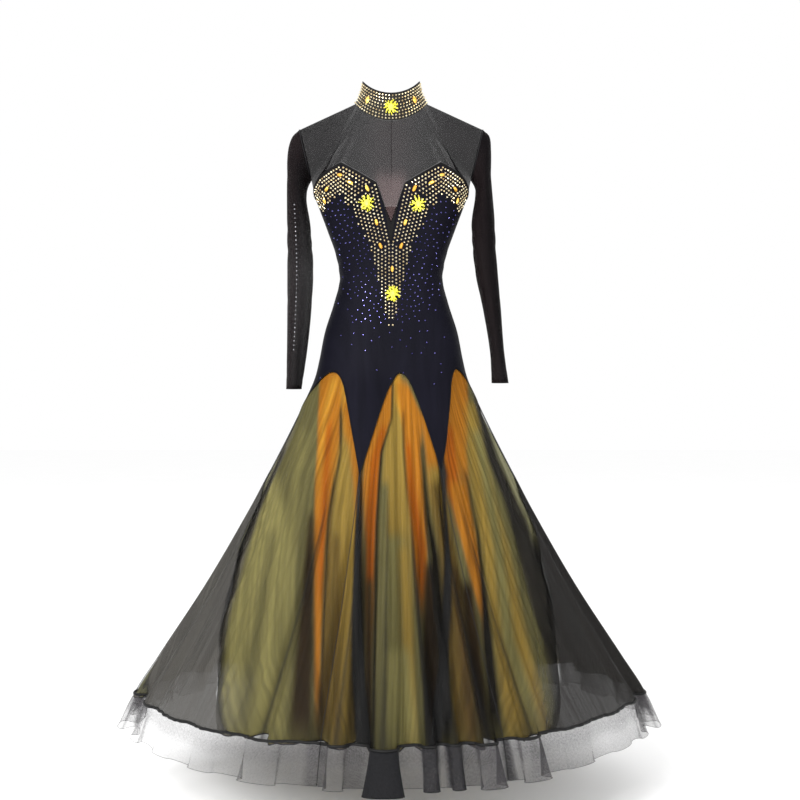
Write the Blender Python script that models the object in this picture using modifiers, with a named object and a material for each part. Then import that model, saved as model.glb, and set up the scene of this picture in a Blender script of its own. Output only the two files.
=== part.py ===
"""Ballroom dance dress, worn shape held open as on a figure. Metres, +Z up, front faces -Y.

The origin is the level of the neck base, where the dress hangs on the wearer's shoulders.
Angles run round the dress in degrees: 0 is the centre front, 90 the side at +X, 180 the centre back.
"""

from math import cos, exp, hypot, pi, radians, sin, sqrt

import bmesh
import bpy
from mathutils import Matrix, Vector

WALL = 0.0012            # cloth wall
COLLAR_WALL = 0.0018     # collar wall, stiffened by its stones
SEAM = 0.0003            # gap between pieces at a seam
BAND_SEAM = 0.0008       # the band turns outwards, so it needs a little more
HEM_Z = -1.252           # lower edge of the black overlay
BAND_Z = -1.320          # lower edge of the horsehair band
FOLD_TOP_Z = -0.620      # the skirt folds grow from nothing at this height
FOLD_GROWTH = 1.3
BAND_FLARE = 0.35        # how much deeper the folds get over the band
FOLD_LEAN = 0.40         # how far a fold's flanks lean over at the band's edge, as a share of its half width
LEAN_TOP_Z = -1.050
LEAN_GROWTH = 3.0

# Sections of the body and skirt: height, half width, depth to the front and to the back
FORM = (
    (-0.090, 0.186, 0.090, 0.092),
    (-0.143, 0.176, 0.098, 0.096),
    (-0.190, 0.167, 0.105, 0.096),
    (-0.224, 0.155, 0.103, 0.092),
    (-0.275, 0.136, 0.095, 0.086),
    (-0.327, 0.118, 0.087, 0.081),
    (-0.378, 0.111, 0.083, 0.080),
    (-0.430, 0.123, 0.088, 0.092),
    (-0.490, 0.142, 0.098, 0.111),
    (-0.550, 0.154, 0.109, 0.125),
    (-0.590, 0.164, 0.124, 0.136),
    (-0.636, 0.184, 0.152, 0.160),
    (-0.714, 0.220, 0.202, 0.206),
    (-0.791, 0.257, 0.247, 0.249),
    (-0.868, 0.294, 0.289, 0.290),
    (-1.023, 0.376, 0.372, 0.372),
    (-1.178, 0.469, 0.466, 0.466),
    (-1.252, 0.512, 0.510, 0.510),
    (-1.320, 0.531, 0.547, 0.531),
)
ROUND_TOP = 0.88         # a little squarer than an ellipse over the body
ROUND_FROM_Z, ROUND_TO_Z = -0.50, -0.80

BUST_X, BUST_Z, BUST_OUT = 0.080, -0.185, 0.018
BUST_WIDE, BUST_TALL = 0.048, 0.052

# Upper edge of the bodice: angle, height. The front is a sweetheart line with a deep notch
NECKLINE = (
    (0, -0.266),
    (8, -0.184),
    (33, -0.139),
    (59, -0.163),
    (90, -0.200),
    (135, -0.210),
    (180, -0.206),
)
BINDING_WIDE = 0.006
NOTCH_BINDING = 0.034    # how far the two bindings run on together below the notch
BINDING_LIFT = 0.0005

# Godets: name, peak angle, seam angles left and right, where the coloured layer hangs at the hem, the height
# of the peak and of the bodice's points at the two seams, and how round each flank is (below 1 is rounder)
GODETS = (
    ("front", 5, -14, 24, -5.6, 9.9, -0.580, -0.783, -0.775, 0.62, 0.44),
    ("front_right", 59, 24, 90, 10.1, 41.0, -0.570, -0.775, -0.640, 0.55, 0.60),
    ("back_right", 120, 90, 150, 86.0, 149.0, -0.580, -0.640, -0.783, 0.60, 0.60),
    ("back", 180, 150, 210, 151.0, 209.0, -0.580, -0.783, -0.783, 0.60, 0.60),
    ("back_left", 240, 210, 270, 211.0, 284.0, -0.580, -0.783, -0.665, 0.60, 0.60),
    ("front_left", 312, 270, 346, 319.0, 354.2, -0.577, -0.665, -0.783, 0.60, 0.42),
)
POINT_Z = -0.783         # lowest point of the bodice

# Folds of the skirt at its hem: angle of the crest, half width in degrees, height
FOLDS = (
    (-10.4, 3.6, 0.018), (-1, 5.4, 0.042), (7.8, 2.8, 0.020), (13, 2.4, 0.018), (19.5, 4.2, 0.026),
    (29.5, 5.5, 0.022), (44, 9, 0.010), (62, 9, 0.008),
    (74, 6, 0.014), (84.5, 5, 0.028), (97, 6.5, 0.032), (111, 7, 0.022), (126.5, 8, 0.034),
    (143.5, 6, 0.026), (158, 7.5, 0.034), (174, 8, 0.038), (189.5, 7.5, 0.026), (203.5, 6, 0.032),
    (218, 7.5, 0.036), (233, 7.5, 0.030), (247, 6, 0.030), (261.5, 8, 0.028), (276, 5.5, 0.032),
    (289, 7, 0.016), (304, 8, 0.008), (319, 7, 0.010), (334, 8, 0.016),
)
DIP = (50, 38, -0.014)   # the skirt hangs closer here: angle, half width in degrees, height
FOLD_FULL = 0.030        # folds lower than this lean over less

# Deep valleys of the coloured layer: angle at the hem, half width in degrees, depth
VALLEYS = (
    (331, 4.0, 0.030), (345, 3.0, 0.036), (353, 3.5, 0.040), (10, 3.5, 0.045), (22, 3.5, 0.040),
    (31, 3, 0.016), (112, 5, 0.036), (132, 5, 0.042), (166, 5, 0.036), (187, 5, 0.045),
    (226, 5, 0.040), (244, 5, 0.036), (262, 5, 0.040),
)
LAYER_GAP_TOP, LAYER_GAP_FREE, LAYER_GAP_HEM = 0.0005, 0.0055, 0.0100
SHIFT_INSET = 0.0006     # extra inset for each degree that a layer hangs to one side
LAYER_DROP = 0.004       # the coloured hem shows a little below the black one
BODY_TURN, SKIRT_TURN, LAYER_TURN = 0.09, 0.05, 0.5   # degrees left free at an upright seam

# Neck and collar
NECK_SIDE, NECK_FRONT, NECK_BACK = 0.077, 0.064, 0.062
NECK_FRONT_Z, NECK_BACK_Z = -0.048, 0.010
COLLAR_TOP_SIDE, COLLAR_TOP_FRONT, COLLAR_TOP_BACK = 0.060, 0.050, 0.049
COLLAR_TOP_SIDE_Z, COLLAR_TOP_FRONT_Z, COLLAR_TOP_BACK_Z = 0.047, 0.012, 0.028
COLLAR_PINCH = 0.0035
NECK_DIP = 1.5           # above 1 keeps the neck seam high at the sides

# Armhole loop, from the shoulder point down to the underarm
SHOULDER_X, SHOULDER_Z = 0.196, -0.056
UNDERARM_X, UNDERARM_Z = 0.171, -0.164
ARMHOLE_DEEP = 0.046
SLEEVE_SET = 0.0012      # the sleeve starts this far out from the armhole edge
RIDGE_GAP = 0.0012       # half the gap between front and back at the shoulder seam
CHEST_FULL, BACK_FULL = 0.18, 0.13

# Sleeve sections: outer edge x and z, inner edge x and z, half depth, middle y
SLEEVE_LEFT = (
    (0.212, -0.071, 0.1755, -0.172, 0.049, 0.000),
    (0.2215, -0.102, 0.1790, -0.183, 0.051, 0.000),
    (0.2236, -0.160, 0.1815, -0.208, 0.050, -0.001),
    (0.2236, -0.245, 0.1730, -0.262, 0.047, -0.003),
    (0.2230, -0.350, 0.1660, -0.358, 0.044, -0.008),
    (0.2230, -0.440, 0.1700, -0.444, 0.041, -0.014),
    (0.2230, -0.530, 0.1790, -0.532, 0.038, -0.022),
    (0.2236, -0.613, 0.1905, -0.613, 0.036, -0.030),
)
SLEEVE_RIGHT = (
    (0.211, -0.070, 0.1755, -0.171, 0.049, 0.000),
    (0.2145, -0.100, 0.1790, -0.180, 0.050, 0.000),
    (0.2150, -0.160, 0.1800, -0.200, 0.050, -0.001),
    (0.2220, -0.245, 0.1720, -0.262, 0.047, -0.003),
    (0.2280, -0.350, 0.1790, -0.358, 0.044, -0.008),
    (0.2350, -0.440, 0.1970, -0.444, 0.041, -0.014),
    (0.2410, -0.530, 0.2110, -0.532, 0.038, -0.022),
    (0.2500, -0.600, 0.2140, -0.600, 0.037, -0.030),
)

# Large oval stones: name, angle, height, half width, half height, lift off the cloth's curve
LARGE_STONES = (
    ("stone_bust_left", -15.5, -0.226, 0.0085, 0.0120, -0.0007),
    ("stone_bust_right", 15.5, -0.226, 0.0085, 0.0120, -0.0007),
    ("stone_waist", 0.0, -0.412, 0.0080, 0.0115, 0.0016),
)
COLLAR_STONE_HALF_WIDE, COLLAR_STONE_HALF_TALL, COLLAR_STONE_LIFT = 0.0080, 0.0120, 0.0013
STONE_THICK = 0.0045

# Mesh density
COLUMN_STEP, BAND_STEP, YOKE_STEP = 3.7, 1.9, 6.0
BODY_ROWS, SKIRT_ROWS, YOKE_ROWS = 7, 6, 5
SLEEVE_SIDES, COLLAR_SIDES = 20, 40
ARM_STEPS = 7
ARM_SHARE = 62           # the armholes take the neck seam from 62 to 90 degrees

COLOURS = {
    "collar": (0.55, 0.38, 0.10), "yoke": (0.035, 0.032, 0.034), "sleeve": (0.02, 0.02, 0.023),
    "bodice": (0.012, 0.014, 0.028), "binding": (0.008, 0.008, 0.008), "godet": (0.32, 0.20, 0.04),
    "overlay": (0.03, 0.03, 0.028), "hem": (0.25, 0.24, 0.25), "stone": (0.85, 0.62, 0.03),
}


def smooth_step(value):
    """0 to 1 with level ends."""
    value = min(1.0, max(0.0, value))
    return value * value * (3 - 2 * value)


def section(z):
    """Half width, front depth and back depth at height z, on a smooth curve through FORM."""
    rows = FORM
    last = len(rows) - 1
    if z >= rows[0][0]:
        return rows[0][1:]
    if z <= rows[last][0]:
        return rows[last][1:]
    i = max(k for k in range(last) if rows[k][0] >= z)
    low, high = rows[i], rows[i + 1]
    before, after = rows[max(i - 1, 0)], rows[min(i + 2, last)]
    step = high[0] - low[0]
    t = (z - low[0]) / step
    sizes = []
    for column in (1, 2, 3):
        slope_low = (high[column] - before[column]) / (high[0] - before[0]) * step
        slope_high = (after[column] - low[column]) / (after[0] - low[0]) * step
        sizes.append(
            low[column] * (2 * t**3 - 3 * t**2 + 1)
            + slope_low * (t**3 - 2 * t**2 + t)
            + high[column] * (3 * t**2 - 2 * t**3)
            + slope_high * (t**3 - t**2)
        )
    return sizes


def roundness(z):
    """Power that squares the section over the body and leaves the skirt round."""
    return ROUND_TOP + (1 - ROUND_TOP) * smooth_step((ROUND_FROM_Z - z) / (ROUND_FROM_Z - ROUND_TO_Z))


def turned(angle, centre):
    """Angle from centre, between -180 and 180."""
    return (angle - centre + 180) % 360 - 180


def bumps(angle, table):
    """Sum of smooth bumps: each row gives centre, half width and height."""
    total = 0.0
    for centre, half, height in table:
        away = abs(turned(angle, centre))
        if away < half:
            total += height * (0.5 + 0.5 * cos(pi * away / half))
    return total


def bust(x, z):
    """How far the cups stand out in front."""
    across = (abs(x) - BUST_X) / BUST_WIDE
    down = (z - BUST_Z) / BUST_TALL
    return BUST_OUT * exp(-across * across - down * down)


def fold_share(z):
    """Share of the full fold height at height z, more than 1 over the band."""
    share = max(0.0, (FOLD_TOP_Z - z) / (FOLD_TOP_Z - HEM_Z))
    flare = max(0.0, (HEM_Z - z) / (HEM_Z - BAND_Z))
    return share**FOLD_GROWTH + BAND_FLARE * flare


def lean(angle, z):
    """Degrees by which a fold's head is wider than its neck here."""
    share = max(0.0, (LEAN_TOP_Z - z) / (LEAN_TOP_Z - BAND_Z)) ** LEAN_GROWTH
    total = 0.0
    for centre, half, height in FOLDS:
        away = turned(angle, centre)
        if abs(away) < half:
            total += FOLD_LEAN * half * min(1.0, height / FOLD_FULL) * sin(2 * pi * away / half)
    return share * total


def body(angle, z, inset=0.0, leaning=True):
    """Point on the outer face of the dress, or inset towards its axis."""
    side, front, back = section(z)
    power = roundness(z)
    across, along = sin(radians(angle)), cos(radians(angle))
    x = side * abs(across) ** power * (1 if across >= 0 else -1)
    depth = front if along >= 0 else back
    y = depth * abs(along) ** power * (-1 if along >= 0 else 1)
    if along > 0:
        y -= bust(x, z)
    out = fold_share(z) * bumps(angle, FOLDS + (DIP,)) - inset
    reach = hypot(x, y)
    point = Vector((x, y, 0)) * ((reach + out) / reach)
    if leaning:
        point.rotate(Matrix.Rotation(radians(lean(angle, z)), 3, "Z"))
    return Vector((point.x, point.y, z))


def outward(angle, z):
    """Unit normal of the outer face."""
    round_way = body(angle + 0.5, z) - body(angle - 0.5, z)
    up = body(angle, z + 0.002) - body(angle, z - 0.002)
    return round_way.cross(up).normalized()


def lerp_table(table, key):
    """Straight reading of a two-column table."""
    for (a, low), (b, high) in zip(table, table[1:]):
        if key <= b:
            return low + (high - low) * (key - a) / (b - a)
    return table[-1][1]


def top_edge(angle):
    """Height of the bodice's upper edge."""
    return lerp_table(NECKLINE, abs(turned(angle, 0)))


def low_edge(angle):
    """Height of the zigzag seam between the bodice's points and the godets."""
    for _, peak, left, right, _, _, top, tip_left, tip_right, round_left, round_right in GODETS:
        away = turned(angle, peak)
        half, tip, roundness = right - peak, tip_right, round_right
        if away < 0:
            half, tip, roundness = peak - left, tip_left, round_left
        if abs(away) <= half + 0.001:
            share = (abs(away) / half) ** (1 / roundness)
            return top + (tip - top) * share
    return POINT_Z


def edge_gap(edge, angle):
    """Vertical gap that leaves a SEAM across a sloping edge."""
    step = 0.4
    rise = edge(angle + step) - edge(angle - step)
    run = (body(angle + step, edge(angle)) - body(angle - step, edge(angle))).length
    return SEAM * sqrt(1 + (rise / run) ** 2)


def spread(start, end, step, corners=()):
    """Angles from start to end through the corners, evenly between them."""
    fixed = [start] + sorted({c for c in corners if start < c < end}) + [end]
    angles = [start]
    for low, high in zip(fixed, fixed[1:]):
        count = max(1, round((high - low) / step))
        angles += [low + (high - low) * (i + 1) / count for i in range(count)]
    return angles


def panel_angles(start, end, turn):
    """Columns shared by all panels that meet, between two seams. turn leaves the gap at each."""
    corners = [a for row in GODETS for a in row[1:4]]
    corners += [side * a for a, _ in NECKLINE for side in (-1, 1)]
    ring = spread(0, 360, COLUMN_STEP, [c % 360 for c in corners])
    inside = {round(turned(a, (start + end) / 2) + (start + end) / 2, 6) for a in ring}
    return [start + turn] + sorted(a for a in inside if start + turn < a < end - turn) + [end - turn]


def add_part(name, mesh, kind):
    """Object with its own material, in the dress's collection."""
    material = bpy.data.materials.new(name + "_cloth")
    material.use_nodes = True
    shader = material.node_tree.nodes["Principled BSDF"]
    shader.inputs["Base Color"].default_value = (*COLOURS[kind], 1)
    shader.inputs["Roughness"].default_value = 0.25 if kind == "stone" else 0.7
    shader.inputs["Metallic"].default_value = 0.0
    mesh.materials.append(material)
    part = bpy.data.objects.new(name, mesh)
    dress.objects.link(part)
    mesh.shade_smooth()
    return part


def cloth(name, rows, kind, wall=WALL, closed=False, outside=False):
    """Wall of cloth through rows of points. Rows run down, and each row runs towards larger angles."""
    points = [p for row in rows for p in row]
    wide = len(rows[0])
    faces = []
    for j in range(len(rows) - 1):
        for i in range(wide if closed else wide - 1):
            right = (i + 1) % wide
            faces.append((j * wide + i, (j + 1) * wide + i, (j + 1) * wide + right, j * wide + right))
    mesh = bpy.data.meshes.new(name)
    mesh.from_pydata(points, [], faces)
    part = add_part(name, mesh, kind)
    thick = part.modifiers.new("wall", "SOLIDIFY")
    thick.thickness = wall
    thick.offset = 1 if outside else -1
    return part


def binding_drop(angle):
    """How far the binding reaches down from the upper edge, measured upright."""
    if abs(turned(angle, 0)) < 0.01:
        return NOTCH_BINDING
    return BINDING_WIDE / SEAM * edge_gap(top_edge, angle)


def bodice_rows(angles):
    """Points of the stretch panel. Its first strip is what the binding covers."""
    rows = []
    for j in range(BODY_ROWS + 1):
        row = []
        for angle in angles:
            top = top_edge(angle) - edge_gap(top_edge, angle)
            under = top - binding_drop(angle)
            low = low_edge(angle) + edge_gap(low_edge, angle)
            height = top if j == 0 else under + (low - under) * (j - 1) / (BODY_ROWS - 1)
            row.append(body(angle, height))
        rows.append(row)
    return rows


def bodice_panel(name, start, end):
    """Stretch panel from the neckline or back edge down to the points between the godets."""
    cloth(name, bodice_rows(panel_angles(start, end, BODY_TURN)), "bodice")


def make_binding():
    """Narrow black binding laid on the front panel's first strip, along the sweetheart line."""
    angles = panel_angles(-90, 90, BODY_TURN)[1:-1]
    rows = []
    for row in bodice_rows(angles)[:2]:
        rows.append([p + outward(a, p.z) * BINDING_LIFT for a, p in zip(angles, row)])
    cloth("neckline_binding", rows, "binding", outside=True)


def godet_rows(angles, hem_left, hem_right, bottom, depth, leaning):
    """Rows of one godet layer. depth gives its inset from the outer face."""
    left, right = angles[0], angles[-1]
    rows = []
    for j in range(SKIRT_ROWS + 1):
        row = []
        for angle in angles:
            top = low_edge(angle) - edge_gap(low_edge, angle)
            z = top + (bottom - top) * j / SKIRT_ROWS
            down = max(0.0, (POINT_Z - z) / (POINT_Z - HEM_Z))
            across = (angle - left) / (right - left)
            hem_angle = hem_left + (hem_right - hem_left) * across
            shift = (hem_angle - angle) * down
            inset = depth(j / SKIRT_ROWS, down, angle + shift) + SHIFT_INSET * abs(shift)
            row.append(body(angle + shift, z, inset, leaning))
        rows.append(row)
    return rows


def coloured_depth(share, down, angle):
    """The coloured layer meets the overlay at the seam, hangs free under it, and folds deeper."""
    free = LAYER_GAP_FREE if share > 0 else 0.0
    return WALL + LAYER_GAP_TOP + free + down * (LAYER_GAP_HEM + bumps(angle, VALLEYS))


def skirt_pieces(name, left, right, hem_left, hem_right):
    """Coloured godet, the sheer overlay on it and its stretch of the hem band."""
    angles = panel_angles(left, right, SKIRT_TURN)
    free_angles = panel_angles(left, right, LAYER_TURN)
    inner = godet_rows(free_angles, hem_left, hem_right, HEM_Z - LAYER_DROP, coloured_depth, False)
    cloth("godet_" + name, inner, "godet")
    outer = godet_rows(angles, angles[0], angles[-1], HEM_Z, lambda *place: 0.0, True)
    cloth("overlay_" + name, outer, "overlay")
    heights = (HEM_Z - BAND_SEAM, (HEM_Z + BAND_Z) / 2, BAND_Z)
    angles = spread(left + SKIRT_TURN, right - SKIRT_TURN, BAND_STEP)
    cloth("hem_band_" + name, [[body(a, z) for a in angles] for z in heights], "hem")


def neck_point(angle, out=0.0):
    """Point on the seam round the neck base."""
    across, along = sin(radians(angle)), cos(radians(angle))
    depth = NECK_FRONT if along >= 0 else NECK_BACK
    height = NECK_FRONT_Z * along**NECK_DIP if along >= 0 else NECK_BACK_Z * -along
    return Vector(((NECK_SIDE + out) * across, -(depth + out) * along, height))


def collar_top(angle):
    """Point on the collar's upper edge."""
    across, along = sin(radians(angle)), cos(radians(angle))
    depth = COLLAR_TOP_FRONT if along >= 0 else COLLAR_TOP_BACK
    target = COLLAR_TOP_FRONT_Z if along >= 0 else COLLAR_TOP_BACK_Z
    height = COLLAR_TOP_SIDE_Z + (target - COLLAR_TOP_SIDE_Z) * abs(along) ** NECK_DIP
    return Vector((COLLAR_TOP_SIDE * across, -depth * along, height))


def collar_point(angle, share):
    """Point on the collar's outer face, share 0 at its upper edge and 1 at its seam."""
    high, low = collar_top(angle), neck_point(angle)
    point = high.lerp(low, share)
    inward = COLLAR_PINCH * 4 * share * (1 - share)
    return point - Vector((sin(radians(angle)), -cos(radians(angle)), 0)) * inward


def make_collar():
    """Stand collar, open by a hair at the centre back where it closes."""
    turns = [-179.7 + 359.4 * i / COLLAR_SIDES for i in range(COLLAR_SIDES + 1)]
    lift = Vector((0, 0, SEAM * 1.5))
    rows = [[collar_point(a, share) + lift for a in turns] for share in (0, 0.33, 0.67, 1)]
    cloth("collar", rows, "collar", COLLAR_WALL, outside=True)


def armhole_point(side, turn, sign):
    """Armhole loop: turn 0 at the shoulder point, 180 under the arm. sign is -1 in front."""
    high = (1 + cos(radians(turn))) / 2
    x = UNDERARM_X + (SHOULDER_X - UNDERARM_X) * high
    z = UNDERARM_Z + (SHOULDER_Z - UNDERARM_Z) * high
    return Vector((side * x, sign * max(RIDGE_GAP, ARMHOLE_DEEP * sin(radians(turn))), z))


def yoke_columns(start, end):
    """Pairs of an angle round the neck and a point on the outer edge, from start to end."""
    pairs = []
    corners = sorted(s * a for a, _ in NECKLINE for s in (-1, 1))
    for angle in spread(start, end, YOKE_STEP, corners):
        height = top_edge(angle) + 2.2 * edge_gap(top_edge, angle)
        pairs.append((angle, body(angle, height)))
    return pairs


def yoke_rows(pairs, fullness, sign):
    """Loft from the neck seam to the outer edge, fuller over the chest or the shoulder blades."""
    rows = [[] for _ in range(YOKE_ROWS + 1)]
    for neck_angle, edge in pairs:
        start = neck_point(neck_angle)
        if abs(start.y) < RIDGE_GAP:
            start.y = sign * RIDGE_GAP
        start.z -= SEAM
        bulge = fullness * (edge - start).length * abs(cos(radians(neck_angle)))
        middle = (start + edge) / 2 + Vector((0, sign * bulge, 0))
        for j, row in enumerate(rows):
            t = j / YOKE_ROWS
            row.append(start * (1 - t) ** 2 + middle * (2 * t * (1 - t)) + edge * t * t)
    return rows


def make_yoke():
    """Sheer mesh over the chest, shoulders and upper back."""
    turns = [180 * i / ARM_STEPS for i in range(ARM_STEPS)]
    necks = [ARM_SHARE + (90 - ARM_SHARE) * (1 - t / 180) for t in turns]
    front = [(-n, armhole_point(-1, t, -1)) for n, t in zip(necks, turns)]
    front += [(a * ARM_SHARE / 90, p) for a, p in yoke_columns(-89, 89)]
    front += [(n, armhole_point(1, t, -1)) for n, t in zip(reversed(necks), reversed(turns))]
    cloth("yoke_front", yoke_rows(front, CHEST_FULL, -1), "yoke")
    arm_back = [(180 - n, armhole_point(1, t, 1)) for n, t in zip(necks, turns)]
    low_back = [(180 - (180 - a) * ARM_SHARE / 90, p) for a, p in yoke_columns(91, 179.85)]
    right = arm_back + low_back
    cloth("yoke_back_right", yoke_rows(right, BACK_FULL, 1), "yoke")
    left = [(-a, Vector((-p.x, p.y, p.z))) for a, p in reversed(right)]
    cloth("yoke_back_left", yoke_rows(left, BACK_FULL, 1), "yoke")


def make_sleeve(name, side, sections):
    """Long sleeve from the armhole to the wrist, one ring a section."""
    first = (SHOULDER_X, SHOULDER_Z, UNDERARM_X, UNDERARM_Z, ARMHOLE_DEEP, 0.0)
    rows = []
    for number, (outer_x, outer_z, inner_x, inner_z, deep, middle_y) in enumerate((first,) + sections):
        set_out = SLEEVE_SET if number == 0 else 0.0
        ring = []
        for i in range(SLEEVE_SIDES):
            turn = 2 * pi * i / SLEEVE_SIDES
            high = (1 + cos(turn)) / 2
            x = inner_x + (outer_x - inner_x) * high + set_out
            z = inner_z + (outer_z - inner_z) * high
            ring.append(Vector((side * x, middle_y + side * deep * sin(turn), z)))
        rows.append(ring)
    cloth(name, rows, "sleeve", closed=True)


def make_stone(name, point, normal, half_wide, half_tall, lift):
    """Oval cut stone, flat behind, laid on the cloth."""
    shape = bmesh.new()
    bmesh.ops.create_cone(
        shape, cap_ends=True, segments=12, radius1=1.0, radius2=0.5, depth=STONE_THICK,
    )
    bmesh.ops.scale(shape, vec=(half_wide, half_tall, 1), verts=shape.verts)
    across = Vector((0, 0, 1)).cross(normal).normalized()
    frame = Matrix((across, normal.cross(across), normal)).transposed().to_4x4()
    frame.translation = point + normal * (lift + STONE_THICK / 2)
    bmesh.ops.transform(shape, matrix=frame, verts=shape.verts)
    mesh = bpy.data.meshes.new(name)
    shape.to_mesh(mesh)
    shape.free()
    part = add_part(name, mesh, "stone")
    part.data.shade_flat()


for thing in list(bpy.data.objects):
    bpy.data.objects.remove(thing, do_unlink=True)
dress = bpy.data.collections.new("ballroom_dress")
bpy.context.scene.collection.children.link(dress)

make_collar()
make_yoke()
make_sleeve("sleeve_left", -1, SLEEVE_LEFT)
make_sleeve("sleeve_right", 1, SLEEVE_RIGHT)
bodice_panel("bodice_front", -90, 90)
bodice_panel("bodice_back_right", 90, 180)
bodice_panel("bodice_back_left", 180, 270)
make_binding()
for godet_name, _, seam_left, seam_right, hang_left, hang_right, *_ in GODETS:
    skirt_pieces(godet_name, seam_left, seam_right, hang_left, hang_right)
for stone_name, stone_angle, stone_z, *stone_size in LARGE_STONES:
    make_stone(stone_name, body(stone_angle, stone_z), outward(stone_angle, stone_z), *stone_size)
collar_face = collar_point(0, 0.5) - Vector((0, COLLAR_WALL, 0))
collar_up = collar_point(0, 0.3) - collar_point(0, 0.7)
collar_out = Vector((1, 0, 0)).cross(collar_up).normalized()
collar_size = COLLAR_STONE_HALF_WIDE, COLLAR_STONE_HALF_TALL, COLLAR_STONE_LIFT
make_stone("stone_collar", collar_face, collar_out, *collar_size)
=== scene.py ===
import random
from math import cos, hypot, pi, radians, sin

import bpy
import numpy as np
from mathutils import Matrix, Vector


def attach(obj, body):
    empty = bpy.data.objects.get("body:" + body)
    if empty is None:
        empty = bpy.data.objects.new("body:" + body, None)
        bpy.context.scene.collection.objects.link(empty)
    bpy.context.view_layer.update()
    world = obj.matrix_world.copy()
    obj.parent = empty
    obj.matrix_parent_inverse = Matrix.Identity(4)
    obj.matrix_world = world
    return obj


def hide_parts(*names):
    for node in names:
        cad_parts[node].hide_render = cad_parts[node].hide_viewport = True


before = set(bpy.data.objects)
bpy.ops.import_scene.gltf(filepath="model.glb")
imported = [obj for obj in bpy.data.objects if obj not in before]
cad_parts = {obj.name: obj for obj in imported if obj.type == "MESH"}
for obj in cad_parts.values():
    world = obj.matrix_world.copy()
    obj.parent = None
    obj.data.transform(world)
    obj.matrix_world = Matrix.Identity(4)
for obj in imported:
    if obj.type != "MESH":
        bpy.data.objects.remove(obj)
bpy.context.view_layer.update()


# Bodice: a front and two back panels of navy-black stretch cloth, sewn at the sides and the centre back.
# The cloth is a dense two-way stretch knit with a soft sheen, cut to points that run down between the godets.
WALL = 0.0010
SEAM = 0.0006
HEM_Z, BAND_Z = -1.252, -1.320
FOLD_TOP_Z, FOLD_GROWTH, BAND_FLARE = -0.620, 1.3, 0.35
FOLD_LEAN, LEAN_TOP_Z, LEAN_GROWTH = 0.40, -1.050, 3.0
FORM = (                 # height, half width, depth to the front and to the back
    (-0.090, 0.186, 0.090, 0.092), (-0.143, 0.176, 0.098, 0.096), (-0.190, 0.167, 0.105, 0.096),
    (-0.224, 0.155, 0.103, 0.092), (-0.275, 0.136, 0.095, 0.086), (-0.327, 0.118, 0.087, 0.081),
    (-0.378, 0.111, 0.083, 0.080), (-0.430, 0.123, 0.088, 0.092), (-0.490, 0.142, 0.098, 0.111),
    (-0.550, 0.154, 0.109, 0.125), (-0.590, 0.164, 0.124, 0.136), (-0.636, 0.184, 0.152, 0.160),
    (-0.714, 0.220, 0.202, 0.206), (-0.791, 0.257, 0.247, 0.249), (-0.868, 0.294, 0.289, 0.290),
    (-1.023, 0.376, 0.372, 0.372), (-1.178, 0.469, 0.466, 0.466), (-1.252, 0.512, 0.510, 0.510),
    (-1.320, 0.531, 0.547, 0.531),
)
ROUND_TOP, ROUND_FROM_Z, ROUND_TO_Z = 0.88, -0.50, -0.80
BUST_X, BUST_Z, BUST_OUT, BUST_WIDE, BUST_TALL = 0.080, -0.185, 0.018, 0.048, 0.052
NECKLINE = (             # angle and height of the upper edge
    (0, -0.266), (8, -0.184), (33, -0.139), (59, -0.163), (90, -0.200), (135, -0.210), (180, -0.206),
)
GODETS = (   # name, peak angle, seams, coloured hem left and right, peak and two point heights, roundness of flanks
    ("front", 5, -14, 24, -5.6, 9.9, -0.580, -0.783, -0.775, 0.62, 0.44),
    ("front_right", 59, 24, 90, 10.1, 41.0, -0.570, -0.775, -0.640, 0.55, 0.60),
    ("back_right", 120, 90, 150, 86.0, 149.0, -0.580, -0.640, -0.783, 0.60, 0.60),
    ("back", 180, 150, 210, 151.0, 209.0, -0.580, -0.783, -0.783, 0.60, 0.60),
    ("back_left", 240, 210, 270, 211.0, 284.0, -0.580, -0.783, -0.665, 0.60, 0.60),
    ("front_left", 312, 270, 346, 319.0, 354.2, -0.577, -0.665, -0.783, 0.60, 0.42),
)
POINT_Z = -0.783
FOLDS = (                # crest angle, half width in degrees, height at the hem
    (-10.4, 3.6, 0.018), (-1, 5.4, 0.042), (7.8, 2.8, 0.020), (13, 2.4, 0.018), (19.5, 4.2, 0.026),
    (29.5, 5.5, 0.022), (44, 9, 0.010), (62, 9, 0.008),
    (74, 6, 0.014), (84.5, 5, 0.028), (97, 6.5, 0.032), (111, 7, 0.022), (126.5, 8, 0.034),
    (143.5, 6, 0.026), (158, 7.5, 0.034), (174, 8, 0.038), (189.5, 7.5, 0.026), (203.5, 6, 0.032),
    (218, 7.5, 0.036), (233, 7.5, 0.030), (247, 6, 0.030), (261.5, 8, 0.028), (276, 5.5, 0.032),
    (289, 7, 0.016), (304, 8, 0.008), (319, 7, 0.010), (334, 8, 0.016),
)
DIP = (50, 38, -0.014)
FOLD_FULL = 0.030        # folds lower than this lean over less
BODICE_PANELS = (("bodice_front", -90, 90), ("bodice_back_right", 90, 180), ("bodice_back_left", 180, 270))
BODICE_STEP, BODICE_ROWS = 1.1, 90
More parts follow.
